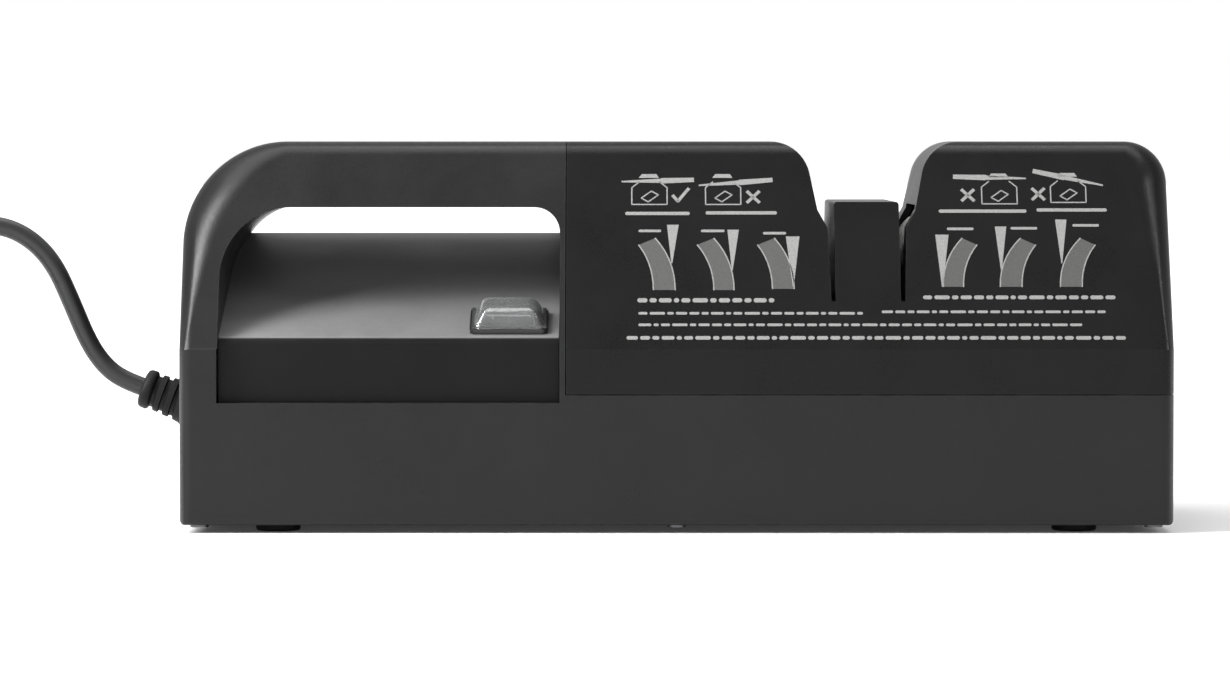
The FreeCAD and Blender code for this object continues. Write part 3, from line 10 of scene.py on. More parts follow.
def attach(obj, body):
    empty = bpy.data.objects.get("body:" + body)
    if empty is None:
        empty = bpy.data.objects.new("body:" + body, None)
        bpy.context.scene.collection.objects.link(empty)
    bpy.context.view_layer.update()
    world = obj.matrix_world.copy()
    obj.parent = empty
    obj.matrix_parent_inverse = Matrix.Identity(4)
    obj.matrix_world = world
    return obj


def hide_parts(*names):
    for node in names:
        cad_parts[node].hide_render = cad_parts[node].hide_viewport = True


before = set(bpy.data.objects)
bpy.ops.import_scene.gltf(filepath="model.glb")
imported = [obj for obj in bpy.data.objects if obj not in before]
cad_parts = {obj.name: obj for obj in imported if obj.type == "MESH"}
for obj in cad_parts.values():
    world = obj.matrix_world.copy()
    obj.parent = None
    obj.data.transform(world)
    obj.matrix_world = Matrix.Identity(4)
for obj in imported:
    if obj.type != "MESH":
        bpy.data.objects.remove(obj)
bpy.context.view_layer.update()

bl_info = {
    "name": "Electric Knife Sharpener",
    "version": (1, 0, 0),
    "blender": (4, 5, 0),
    "location": "View3D > Sidebar > Sharpener",
    "description": "Dresses the sharpener's packed parts and sets its studio",
    "category": "Object",
}

MM = 0.001

# Slope of the belt cover, where the marks are printed: the crease at its foot and its lean
CREASE_Y = -55.0
CREASE_Z = 57.4
SLOPE_LEAN = math.radians(25)
# Tray the switch sits on: its lean back and the height of its front edge
TRAY_LEAN = math.radians(19.87)
TRAY_FOOT_Z = 60.55

# Body's side outline: half length, top, corner radii, and the round of its end edges
BODY_HALF = 155.0
BODY_TOP = 122.0
LEFT_CORNER = 32.0
RIGHT_CORNER = 13.0
ROUNDEST_Z = 108.0
END_ROUND_LOW = 2.0
TOP_ROUND = 4.5

# Route of the lead from the gland over its arch, in millimetres
LEAD_ROUTE = [
    (-171.4, 0.0, 43.0), (-178.0, 0.0, 45.4), (-183.9, 0.0, 50.1), (-188.9, -0.4, 57.6),
    (-193.9, -1.6, 70.1), (-198.8, -2.8, 81.6), (-204.7, -4.2, 89.1), (-212.2, -5.8, 94.0),
    (-220.6, -7.4, 95.6), (-228.9, -8.8, 94.0), (-236.5, -9.8, 89.1), (-242.5, -10.4, 81.1),
    (-247.3, -10.6, 69.0), (-251.7, -10.4, 51.6), (-255.9, -10.0, 27.9), (-260.7, -9.6, 17.0),
    (-267.2, -9.3, 9.3), (-274.8, -9.1, 4.5), (-283.7, -9.1, 3.05), (-292.7, -9.1, 3.05),
]
COIL_START = (-298.7, -9.1, 3.05)
COIL_LOWER_RADII = (46.8, 43.4, 40.0, 36.6, 33.2, 29.8, 26.4, 23.0)
COIL_CLIMB_RADIUS = 19.6
COIL_UPPER_RADII = (23.0, 26.4, 29.8)
COIL_RISE = 6.7
COIL_STEPS = 8
TAIL_ROUTE = [(-304.7, -22.7, 9.75), (-321.7, -22.7, 9.75), (-338.6, -21.2, 9.75)]


# Settings

class SharpenerSizes(bpy.types.PropertyGroup):
    """Sizes of the pieces made here."""
    lead_diameter: bpy.props.FloatProperty(
        name="Lead diameter", description="Outside diameter of the mains lead",
        default=0.006, unit="LENGTH")
    ink_height: bpy.props.FloatProperty(
        name="Ink height", description="How far the printed marks stand off the cover",
        default=0.00005, precision=6, unit="LENGTH")
    stroke: bpy.props.FloatProperty(
        name="Stroke", description="Width of a fine printed line", default=0.0004, precision=5,
        unit="LENGTH")
    camera_lens: bpy.props.FloatProperty(
        name="Camera lens", description="Focal length in millimetres", default=141.4)
    camera_pitch: bpy.props.FloatProperty(
        name="Camera pitch", description="How far the camera looks down",
        default=math.radians(2.33), subtype="ANGLE")


class SharpenerColours(bpy.types.PropertyGroup):
    """Colours of the main finishes."""
    housing: bpy.props.FloatVectorProperty(
        name="Housing", description="Moulded plastic of the housing and handle",
        default=(0.0088, 0.0088, 0.0092), subtype="COLOR", min=0, max=1)
    # Cover: darker than the housing as painted shade, set against the light that its upward-facing
    # slope catches
    cover: bpy.props.FloatVectorProperty(
        name="Cover", description="Moulded plastic of the belt cover",
        default=(0.0056, 0.0056, 0.0059), subtype="COLOR", min=0, max=1)
    # Tray: far paler than the housing's black, as painted light for the light that falls on the
    # tray from above
    tray: bpy.props.FloatVectorProperty(
        name="Tray", description="Plastic of the tray under the handle",
        default=(0.160, 0.160, 0.162), subtype="COLOR", min=0, max=1)
    ink: bpy.props.FloatVectorProperty(
        name="Ink", description="White ink of the printed marks",
        default=(0.27, 0.27, 0.265), subtype="COLOR", min=0, max=1)
    lead: bpy.props.FloatVectorProperty(
        name="Lead", description="Sheath of the mains lead",
        default=(0.0100, 0.0100, 0.0105), subtype="COLOR", min=0, max=1)
    floor: bpy.props.FloatVectorProperty(
        name="Floor", description="Studio floor", default=(0.90, 0.90, 0.90), subtype="COLOR",
        min=0, max=1)


def sizes():
    return bpy.context.scene.sharpener_sizes


def colours():
    return bpy.context.scene.sharpener_colours


# Node helpers

class Web:
    """Adds nodes to a tree and links them by name."""

    def __init__(self, tree):
        self.tree = tree

    def add(self, kind, inputs=None, **settings):
        node = self.tree.nodes.new("ShaderNode" + kind)
        for key, value in settings.items():
            setattr(node, key, value)
        for key, value in (inputs or {}).items():
            self.feed(node.inputs[key], value)
        return node

    def feed(self, socket, value):
        """Links the socket to another, or gives it a plain value."""
        if isinstance(value, bpy.types.NodeSocket):
            self.tree.links.new(value, socket)
        else:
            socket.default_value = value

    def group(self, name, **inputs):
        node = self.tree.nodes.new("ShaderNodeGroup")
        node.node_tree = effect(name)
        for key, value in inputs.items():
            self.feed(node.inputs[key.replace("_", " ")], value)
        return node

    def maths(self, operation, first, second=0.0, clamp=False):
        return self.add("Math", {0: first, 1: second}, operation=operation,
                        use_clamp=clamp).outputs[0]

    def spread(self, value, low, high, to_low, to_high):
        return self.add("MapRange", {"Value": value, "From Min": low, "From Max": high,
                                     "To Min": to_low, "To Max": to_high}).outputs["Result"]

    def blend(self, factor, first, second):
        node = self.tree.nodes.new("ShaderNodeMix")
        node.data_type = "RGBA"
        for index, value in ((0, factor), (6, first), (7, second)):
            self.feed(node.inputs[index], value)
        return node.outputs[2]


def start_group(name, inputs, outputs):
    """A shader node group with named inputs (None for a vector) and outputs of the given kinds."""
    tree = bpy.data.node_groups.new(name, "ShaderNodeTree")
    for label, value in inputs:
        kind = "NodeSocketVector" if value is None else "NodeSocketFloat"
        socket = tree.interface.new_socket(name=label, in_out="INPUT", socket_type=kind)
        if value is not None:
            socket.default_value = value
    for label, kind in outputs:
        tree.interface.new_socket(name=label, in_out="OUTPUT", socket_type="NodeSocket" + kind)
    entry = tree.nodes.new("NodeGroupInput")
    leave = tree.nodes.new("NodeGroupOutput")
    return tree, Web(tree), entry.outputs, leave.inputs


def rough_between(web, given, share):
    """The group's low roughness, raised towards its high one by the share."""
    gap = web.maths("SUBTRACT", given["Rough high"], given["Rough low"])
    rough = web.maths("MULTIPLY_ADD", share, gap)
    web.feed(rough.node.inputs[2], given["Rough low"])
    return rough


def moulded_grain():
    """Spark-eroded grain of a moulded plastic, with faint smudges in its gloss."""
    tree, web, given, out = start_group(
        "Moulded grain",
        [("Grain size", 0.0005), ("Depth", 0.00002), ("Rough low", 0.35), ("Rough high", 0.5),
         ("Face", None)],
        [("Roughness", "Float"), ("Shade", "Float"), ("Normal", "Vector")])
    place = web.add("TexCoord").outputs["Object"]
    often = web.maths("DIVIDE", 1.0, given["Grain size"])
    grain = web.add("TexNoise", {"Vector": place, "Scale": often, "Detail": 2.0,
                                 "Roughness": 0.55}).outputs["Fac"]
    smudge = web.add("TexNoise", {"Vector": place, "Scale": 34.0, "Detail": 3.0,
                                  "Roughness": 0.6, "Distortion": 0.4}).outputs["Fac"]
    even = web.spread(smudge, 0.3, 0.7, 0.0, 1.0)
    rough = rough_between(web, given, even)
    speck = web.spread(grain, 0.35, 0.65, -0.03, 0.03)
    web.feed(out["Roughness"], web.maths("ADD", rough, speck, clamp=True))
    web.feed(out["Shade"], web.spread(smudge, 0.3, 0.7, 0.9, 1.1))
    bump = web.add("Bump", {"Height": grain, "Strength": 1.0, "Distance": given["Depth"],
                            "Normal": given["Face"]})
    web.feed(out["Normal"], bump.outputs["Normal"])
    return tree


def edge_wear_and_highlight():
    """Mask of the outer edges, broken up by noise, which are lightened partly as rubbed wear and
    partly as a painted highlight.
    """
    tree, web, given, out = start_group(
        "Edge wear and highlight", [("Reach", 0.0006), ("Amount", 0.5)], [("Mask", "Float")])
    rounded = web.add("Bevel", {"Radius": given["Reach"]}, samples=4).outputs["Normal"]
    flat = web.add("NewGeometry").outputs["Normal"]
    same = web.add("VectorMath", {0: rounded, 1: flat}, operation="DOT_PRODUCT").outputs["Value"]
    turned = web.spread(same, 0.995, 0.86, 0.0, 1.0)
    place = web.add("TexCoord").outputs["Object"]
    patch = web.add("TexNoise", {"Vector": place, "Scale": 160.0, "Detail": 4.0}).outputs["Fac"]
    broken = web.maths("MULTIPLY", turned, web.spread(patch, 0.42, 0.62, 0.0, 1.0))
    web.feed(out["Mask"], web.maths("MULTIPLY", broken, given["Amount"], clamp=True))
    return tree


def machined_marks():
    """Fine lines of a turned or rolled metal, with stains in its gloss."""
    tree, web, given, out = start_group(
        "Machined marks",
        [("Line size", 0.0004), ("Depth", 0.00001), ("Rough low", 0.25), ("Rough high", 0.45)],
        [("Roughness", "Float"), ("Shade", "Float"), ("Normal", "Vector")])
    place = web.add("TexCoord").outputs["Object"]
    drawn = web.add("Mapping", {"Vector": place, "Scale": (0.08, 1.0, 1.0)}).outputs["Vector"]
    often = web.maths("DIVIDE", 1.0, given["Line size"])
    lines = web.add("TexNoise", {"Vector": drawn, "Scale": often, "Detail": 2.0}).outputs["Fac"]
    stain = web.add("TexNoise", {"Vector": place, "Scale": 60.0, "Detail": 4.0}).outputs["Fac"]
    even = web.spread(stain, 0.32, 0.68, 0.0, 1.0)
    rough = rough_between(web, given, even)
    web.feed(out["Roughness"], rough)
    web.feed(out["Shade"], web.spread(stain, 0.3, 0.7, 0.82, 1.08))
    bump = web.add("Bump", {"Height": lines, "Strength": 1.0, "Distance": given["Depth"]})
    web.feed(out["Normal"], bump.outputs["Normal"])
    return tree


def rounded_ends():
    """Normal of a body whose end edges grow rounder from the crease to the top."""
    tree, web, given, out = start_group("Rounded ends", [("Widest", 0.014)],
                                        [("Normal", "Vector")])
    place = web.add("SeparateXYZ", {"Vector": web.add("TexCoord").outputs["Object"]}).outputs
    left = web.maths("LESS_THAN", place["X"], 0.0)
    corner = web.spread(left, 0.0, 1.0, RIGHT_CORNER * MM, LEFT_CORNER * MM)
    past_left = web.maths("MINIMUM", web.maths(
        "ADD", place["X"], (BODY_HALF - LEFT_CORNER) * MM), 0.0)
    past_right = web.maths("MAXIMUM", web.maths(
        "SUBTRACT", place["X"], (BODY_HALF - RIGHT_CORNER) * MM), 0.0)
    centre_z = web.maths("SUBTRACT", BODY_TOP * MM, corner)
    above = web.maths("MAXIMUM", web.maths("SUBTRACT", place["Z"], centre_z), 0.0)
    arm = web.add("CombineXYZ", {"X": web.maths("ADD", past_left, past_right), "Y": 0.0,
                                 "Z": above}).outputs[0]
    way = web.add("VectorMath", {0: arm}, operation="NORMALIZE").outputs["Vector"]
    length = web.add("VectorMath", {0: arm}, operation="LENGTH").outputs["Value"]
    depth = web.maths("SUBTRACT", corner, length)
    sideways = web.maths("ABSOLUTE", web.add("SeparateXYZ", {"Vector": way}).outputs["X"])
    grown = web.spread(place["Z"], CREASE_Z * MM, ROUNDEST_Z * MM, END_ROUND_LOW * MM, 0.0)
    web.feed(grown.node.inputs["To Max"], given["Widest"])
    reach = web.spread(sideways, 0.0, 1.0, TOP_ROUND * MM, 0.0)
    web.feed(reach.node.inputs["To Max"], grown)
    turn = web.maths("SUBTRACT", 1.0, web.maths("DIVIDE", depth, reach), clamp=True)
    keep = web.maths("SQRT", web.maths("SUBTRACT", 1.0, web.maths("MULTIPLY", turn, turn)))
    face = web.add("NewGeometry").outputs["Normal"]
    own = web.add("VectorMath", {0: face, "Scale": keep}, operation="SCALE").outputs["Vector"]
    added = web.add("VectorMath", {0: way, "Scale": turn}, operation="SCALE").outputs["Vector"]
    both = web.add("VectorMath", {0: own, 1: added}, operation="ADD").outputs["Vector"]
    unit = web.add("VectorMath", {0: both}, operation="NORMALIZE").outputs["Vector"]
    web.feed(out["Normal"], unit)
    return tree


def settled_dust():
    """Mask of the dust that lies on faces turned upwards."""
    tree, web, given, out = start_group("Settled dust", [("Amount", 0.1)], [("Mask", "Float")])
    up = web.add("SeparateXYZ", {"Vector": web.add("NewGeometry").outputs["Normal"]})
    level = web.spread(up.outputs["Z"], 0.75, 1.0, 0.0, 1.0)
    place = web.add("TexCoord").outputs["Object"]
    clump = web.add("TexNoise", {"Vector": place, "Scale": 420.0, "Detail": 5.0,
                                 "Roughness": 0.7}).outputs["Fac"]
    lying = web.maths("MULTIPLY", level, web.spread(clump, 0.45, 0.75, 0.0, 1.0))
    web.feed(out["Mask"], web.maths("MULTIPLY", lying, given["Amount"], clamp=True))
    return tree


DUST = (0.32, 0.30, 0.27, 1.0)
TRAY_SCUFF = (0.30, 0.29, 0.27, 1.0)
# Wall under the tray, painted darker as the shade of its recess, as a share of the housing's
# colour, and the height over which it turns to the tray's paler painted light
WALL_PAINTED_SHADE = 0.4
TRAY_EDGE = 0.4

EFFECTS = {"grain": moulded_grain, "edge": edge_wear_and_highlight, "marks": machined_marks,
           "dust": settled_dust, "ends": rounded_ends}
made_effects = {}


def effect(name):
    """The node group of that name, built on first use."""
    if name not in made_effects:
        made_effects[name] = EFFECTS[name]()
    return made_effects[name]


def start_material(name):
    """An empty material with a Principled shader wired to its output."""
    material = bpy.data.materials.new(name)
    material.use_nodes = True
    tree = material.node_tree
    tree.nodes.clear()
    web = Web(tree)
    shader = web.add("BsdfPrincipled")
    web.add("OutputMaterial", {"Surface": shader.outputs[0]})
    return material, web, shader


def own_normal(web):
    return web.add("NewGeometry").outputs["Normal"]


def wire(web, shader, **values):
    for key, value in values.items():
        web.feed(shader.inputs[key.replace("_", " ")], value)


def rgba(colour, factor=1.0):
    return tuple(min(1.0, channel * factor) for channel in colour) + (1.0,)


def shaded(web, colour, shade):
    """The colour, a little darker or lighter by the shade."""
    part = web.spread(shade, 0.85, 1.15, 0.0, 1.0)
    return web.blend(part, rgba(colour, 0.85), rgba(colour, 1.15))


def moulded(name, colour, rough, grain, depth, gloss=0.5, edge=0.0, dust=0.0, ends=0.0):
    """Moulded plastic or rubber; ends gives the widest round of the body's end edges."""
    material, web, shader = start_material(name)
    face = web.group("ends", Widest=ends).outputs["Normal"] if ends else own_normal(web)
    skin = web.group("grain", Grain_size=grain, Depth=depth, Rough_low=rough[0],
                     Rough_high=rough[1], Face=face)
    colour_now = shaded(web, colour, skin.outputs["Shade"])
    if edge:
        # Edges lightened partly as rubbed wear and partly as a painted highlight along them
        worn = web.group("edge", Amount=edge).outputs["Mask"]
        colour_now = web.blend(worn, colour_now, rgba([0.02 + 2.6 * c for c in colour]))
    if dust:
        lying = web.group("dust", Amount=dust).outputs["Mask"]
        colour_now = web.blend(lying, colour_now, DUST)
    wire(web, shader, Base_Color=colour_now, Roughness=skin.outputs["Roughness"],
         Normal=skin.outputs["Normal"], Specular_IOR_Level=gloss)
    return material


def tray_painted_light_and_shade():
    """Smoother plastic on the tray, painted paler as painted light from above; the wall below it
    keeps the housing's grain and is painted darker as painted shade of its recess.
    """
    material, web, shader = start_material("tray black")
    skin = web.group("grain", Grain_size=0.0007, Depth=0.00003, Rough_low=0.34, Rough_high=0.46,
                     Face=own_normal(web))
    height = web.add("SeparateXYZ", {"Vector": web.add("TexCoord").outputs["Object"]}).outputs["Z"]
    # Painted light and shade, split by height: the tray above is painted pale and the wall below
    # it painted dark
    tray = web.spread(height, TRAY_FOOT_Z * MM, (TRAY_FOOT_Z + TRAY_EDGE) * MM, 0.0, 1.0)
    wall = shaded(web, [WALL_PAINTED_SHADE * c for c in colours().housing], skin.outputs["Shade"])
    top = shaded(web, colours().tray, skin.outputs["Shade"])
    scuff = web.group("dust", Amount=0.12).outputs["Mask"]
    colour_now = web.blend(scuff, web.blend(tray, wall, top), TRAY_SCUFF)
    wire(web, shader, Base_Color=colour_now, Roughness=skin.outputs["Roughness"],
         Normal=skin.outputs["Normal"], Specular_IOR_Level=0.16)
    return material


def metal(name, colour, rough, line):
    """Turned, rolled or plated metal."""
    material, web, shader = start_material(name)
    skin = web.group("marks", Line_size=line, Rough_low=rough[0], Rough_high=rough[1])
    colour_now = shaded(web, colour, skin.outputs["Shade"])
    wire(web, shader, Base_Color=colour_now, Roughness=skin.outputs["Roughness"],
         Normal=skin.outputs["Normal"], Metallic=1.0)
    return material


def clear_boot():
    """Soft clear plastic over the rocker, a little milky."""
    material, web, shader = start_material("clear boot")
    skin = web.group("grain", Grain_size=0.006, Depth=0.0002, Rough_low=0.03, Rough_high=0.12,
                     Face=own_normal(web))
    wire(web, shader, Base_Color=shaded(web, (0.82, 0.83, 0.83), skin.outputs["Shade"]),
         Roughness=skin.outputs["Roughness"], Normal=skin.outputs["Normal"],
         Transmission_Weight=0.94, IOR=1.46, Coat_Weight=0.5, Coat_Roughness=0.05)
    return material


def abrasive_grit():
    """Brown-grey grit bonded to a cloth belt, worn pale in bands."""
    material, web, shader = start_material("abrasive grit")
    place = web.add("TexCoord").outputs["Object"]
    grit = web.add("TexVoronoi", {"Vector": place, "Scale": 3600.0}, feature="F1")
    cluster = web.add("TexNoise", {"Vector": place, "Scale": 900.0, "Detail": 4.0}).outputs["Fac"]
    streak = web.add("TexNoise", {"Vector": web.add(
        "Mapping", {"Vector": place, "Scale": (1.0, 1.0, 0.1)}).outputs["Vector"],
        "Scale": 420.0, "Detail": 3.0}).outputs["Fac"]
    worn = web.spread(streak, 0.4, 0.65, 0.0, 1.0)
    base = web.blend(web.spread(cluster, 0.35, 0.65, 0.0, 1.0), (0.30, 0.29, 0.28, 1.0),
                     (0.52, 0.51, 0.49, 1.0))
    colour_now = web.blend(worn, base, (0.60, 0.60, 0.59, 1.0))
    rise = web.add("Bump", {"Height": grit.outputs["Distance"], "Strength": 0.9,
                            "Distance": 0.00015})
    wire(web, shader, Base_Color=colour_now, Roughness=web.spread(cluster, 0.3, 0.7, 0.7, 0.95),
         Normal=rise.outputs["Normal"], Specular_IOR_Level=0.4)
    return material


def winding_copper():
    """Enamelled wire laid side by side."""
    material, web, shader = start_material("winding copper")
    place = web.add("TexCoord").outputs["Object"]
    turns = web.add("TexWave", {"Vector": place, "Scale": 700.0, "Distortion": 1.2,
                                "Detail": 1.0, "Detail Scale": 0.4}, bands_direction="Z")
    varnish = web.add("TexNoise", {"Vector": place, "Scale": 120.0, "Detail": 3.0}).outputs["Fac"]
    colour_now = web.blend(varnish, (0.62, 0.22, 0.07, 1.0), (0.80, 0.36, 0.13, 1.0))
    rise = web.add("Bump", {"Height": turns.outputs["Fac"], "Strength": 0.8,
                            "Distance": 0.0001})
    wire(web, shader, Base_Color=colour_now, Metallic=0.85, Normal=rise.outputs["Normal"],
         Roughness=web.spread(varnish, 0.3, 0.7, 0.22, 0.4), Coat_Weight=0.5,
         Coat_Roughness=0.15)
    return material


def core_steel():
    """Stack of stamped sheets, seen edge on."""
    material, web, shader = start_material("core steel")
    place = web.add("TexCoord").outputs["Object"]
    sheets = web.add("TexWave", {"Vector": place, "Scale": 480.0}, bands_direction="Y")
    skin = web.group("marks", Rough_low=0.35, Rough_high=0.55)
    colour_now = web.blend(web.spread(sheets.outputs["Fac"], 0.2, 0.9, 0.0, 1.0),
                           (0.16, 0.16, 0.165, 1.0), (0.42, 0.42, 0.43, 1.0))
    rise = web.add("Bump", {"Height": sheets.outputs["Fac"], "Strength": 0.7,
                            "Distance": 0.00006})
    wire(web, shader, Base_Color=colour_now, Roughness=skin.outputs["Roughness"],
         Normal=rise.outputs["Normal"], Metallic=0.9)
    return material


def board_laminate():
    """Green resist over a glass laminate, with faint copper tracks."""
    material, web, shader = start_material("board laminate")
    place = web.add("TexCoord").outputs["Object"]
    weave = web.add("TexChecker", {"Vector": place, "Scale": 1400.0}).outputs["Fac"]
    tracks = web.add("TexBrick", {"Vector": place, "Scale": 130.0, "Mortar Size": 0.06,
                                  "Mortar Smooth": 0.1}).outputs["Fac"]
    board = web.blend(weave, (0.012, 0.085, 0.035, 1.0), (0.016, 0.105, 0.045, 1.0))
    colour_now = web.blend(tracks, board, (0.05, 0.19, 0.07, 1.0))
    rise = web.add("Bump", {"Height": tracks, "Strength": 0.6, "Distance": 0.00005})
    wire(web, shader, Base_Color=colour_now, Roughness=web.spread(weave, 0, 1, 0.3, 0.38),
         Normal=rise.outputs["Normal"])
    return material


def lead_sheath():
    """Smooth flexible sheath with a faint moulded grain and smudges in its gloss."""
    return moulded("lead sheath", colours().lead, rough=(0.32, 0.5), grain=0.0012,
                   depth=0.00002, gloss=0.5)


def wire_sleeve():
    """Insulation of the inner wires, its colour turning from wire to wire."""
    material, web, shader = start_material("wire sleeve")
    place = web.add("TexCoord").outputs["Object"]
    along = web.add("SeparateXYZ", {"Vector": place}).outputs["Y"]
    side = web.spread(along, -0.002, 0.002, 0.0, 1.0)
    skin = web.group("grain", Grain_size=0.0008, Depth=0.00001, Rough_low=0.3, Rough_high=0.42,
                     Face=own_normal(web))
    colour_now = web.blend(side, (0.42, 0.02, 0.015, 1.0), (0.02, 0.02, 0.022, 1.0))
    wire(web, shader, Base_Color=colour_now, Roughness=skin.outputs["Roughness"],
         Normal=skin.outputs["Normal"])
    return material


def printed_ink(name, colour, rough):
    """Screen-printed ink: slightly uneven cover, dull."""
    material, web, shader = start_material(name)
    place = web.add("TexCoord").outputs["Object"]
    mesh = web.add("TexNoise", {"Vector": place, "Scale": 2600.0, "Detail": 3.0}).outputs["Fac"]
    thin = web.spread(mesh, 0.3, 0.55, 0.0, 1.0)
    colour_now = web.blend(thin, rgba(colour, 0.72), rgba(colour))
    rise = web.add("Bump", {"Height": mesh, "Strength": 0.5, "Distance": 0.00002})
    wire(web, shader, Base_Color=colour_now, Normal=rise.outputs["Normal"],
         Roughness=web.spread(mesh, 0.2, 0.8, rough, rough + 0.2), Specular_IOR_Level=0.35)
    return material


# Moulded plastics and rubbers: colour, roughness range, grain size and depth, then the rest
MOULDED = {
    "plate_black": ((0.012, 0.012, 0.012), (0.45, 0.6), 0.0008, 0.00005, {"edge": 0.2}),
    "foot_rubber": ((0.012, 0.012, 0.012), (0.7, 0.88), 0.0009, 0.00006, {"gloss": 0.3}),
    "switch_black": ((0.010, 0.010, 0.010), (0.28, 0.38), 0.0005, 0.00002, {}),
    "rocker_grey": ((0.020, 0.020, 0.021), (0.25, 0.35), 0.0005, 0.00001, {}),
    "gland_rubber": ((0.004, 0.004, 0.004), (0.42, 0.6), 0.0009, 0.00004, {"gloss": 0.22}),
    "plug_black": ((0.010, 0.010, 0.010), (0.35, 0.5), 0.0008, 0.00004, {"edge": 0.25}),
    "component_black": ((0.02, 0.02, 0.022), (0.3, 0.45), 0.0004, 0.00002, {}),
    "drive_belt_rubber": ((0.014, 0.014, 0.014), (0.6, 0.8), 0.0005, 0.00005, {"gloss": 0.3}),
    "cap_plastic": ((0.03, 0.03, 0.03), (0.4, 0.55), 0.0006, 0.00003, {}),
    "magnet_ferrite": ((0.035, 0.033, 0.032), (0.5, 0.7), 0.0004, 0.00004, {}),
    "brush_carbon": ((0.02, 0.02, 0.021), (0.4, 0.6), 0.0003, 0.00003, {}),
    "fan_plastic": ((0.42, 0.42, 0.40), (0.4, 0.55), 0.0006, 0.00002, {}),
    "pulley_plastic": ((0.05, 0.05, 0.052), (0.38, 0.5), 0.0006, 0.00002, {}),
    "roller_rubber": ((0.05, 0.016, 0.012), (0.6, 0.78), 0.0006, 0.00005, {"gloss": 0.3}),
    "gear_plastic": ((0.62, 0.60, 0.54), (0.34, 0.48), 0.0006, 0.00002, {}),
    "idler_plastic": ((0.48, 0.48, 0.46), (0.35, 0.5), 0.0006, 0.00002, {}),
}
# Metals: colour, roughness range, width of the machined lines
METALS = {
    "screw_steel": ((0.13, 0.13, 0.135), (0.28, 0.45), 0.0003),
    "pin_plate": ((0.68, 0.62, 0.48), (0.16, 0.3), 0.0004),
    "chassis_steel": ((0.50, 0.51, 0.52), (0.32, 0.5), 0.0008),
    "spacer_steel": ((0.52, 0.52, 0.53), (0.22, 0.36), 0.0004),
    "bearing_steel": ((0.62, 0.62, 0.63), (0.12, 0.22), 0.0003),
    "shaft_steel": ((0.58, 0.58, 0.59), (0.14, 0.26), 0.0003),
    "spring_steel": ((0.45, 0.45, 0.46), (0.2, 0.32), 0.0003),
    "can_steel": ((0.55, 0.55, 0.54), (0.26, 0.4), 0.0006),
    "commutator_copper": ((0.72, 0.38, 0.22), (0.2, 0.38), 0.0004),
    "pulley_aluminium": ((0.72, 0.72, 0.73), (0.22, 0.36), 0.0004),
    "arm_steel": ((0.50, 0.50, 0.51), (0.3, 0.45), 0.0006),
}
SPECIAL = {"tray_black": tray_painted_light_and_shade, "clear_boot": clear_boot, "lead_sheath": lead_sheath,
           "wire_sleeve": wire_sleeve, "board_laminate": board_laminate,
           "core_steel": core_steel, "winding_copper": winding_copper,
           "abrasive_grit": abrasive_grit}


def finishes():
    """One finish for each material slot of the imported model."""
    table = {slot: make() for slot, make in SPECIAL.items()}
    table["housing_black"] = moulded("housing black", colours().housing, (0.30, 0.40), 0.0007,
                                     0.000035, gloss=0.25, edge=0.35, dust=0.10, ends=0.014)
    # The cover's darker colour is painted shade, set against the light that its slope catches
    table["cover_black"] = moulded("cover black", colours().cover, (0.27, 0.36), 0.0007,
                                   0.00003, gloss=0.17, edge=0.35, dust=0.08, ends=0.011)
    for slot, (colour, rough, grain, depth, rest) in MOULDED.items():
        table[slot] = moulded(slot.replace("_", " "), colour, rough, grain, depth, **rest)
    for slot, (colour, rough, line) in METALS.items():
        table[slot] = metal(slot.replace("_", " "), colour, rough, line)
    return table


# Mesh helpers

# How deep the ink's underside sits in the surface, in millimetres
INK_SUNK = 0.01

def bare_mesh(bm, name, material, smooth=False):
    """A mesh object at the origin from the bmesh, its faces pointing outwards."""
    bmesh.ops.remove_doubles(bm, verts=bm.verts, dist=1e-7)
    bmesh.ops.recalc_face_normals(bm, faces=bm.faces)
    mesh = bpy.data.meshes.new(name)
    bm.to_mesh(mesh)
    bm.free()
    for face in mesh.polygons:
        face.use_smooth = smooth
    mesh.materials.append(material)
    piece = bpy.data.objects.new(name, mesh)
    bpy.context.scene.collection.objects.link(piece)
    return piece


def take_in(bm, other):
    """Moves the other bmesh's shape into bm."""
    spare = bpy.data.meshes.new("spare")
    other.to_mesh(spare)
    other.free()
    bm.from_mesh(spare)
    bpy.data.meshes.remove(spare)


def ride_with_slot(piece, body):
    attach(piece, body)
    return piece


def slope_matrix():
    """From millimetres on the cover's slope (along X, up the slope, off it) to the frame."""
    lean = SLOPE_LEAN
    turn = Matrix(((1, 0, 0, 0), (0, math.sin(lean), -math.cos(lean), 0),
                   (0, math.cos(lean), math.sin(lean), 0), (0, 0, 0, 1)))
    return Matrix.Translation((0, CREASE_Y * MM, CREASE_Z * MM)) @ turn @ Matrix.Scale(MM, 4)


def flat_shape(bm, points):
    """A flat face through a few points."""
    verts = [bm.verts.new((x, s, 0)) for x, s in points]
    bmesh.ops.contextual_create(bm, geom=verts)


def flat_bar(bm, x0, x1, middle, height):
    """A level bar with clipped ends."""
    end = height * 0.3
    low, high = middle - height / 2, middle + height / 2
    flat_shape(bm, [(x0 + end, low), (x1 - end, low), (x1, low + end), (x1, high - end),
                    (x1 - end, high), (x0 + end, high), (x0, high - end), (x0, low + end)])


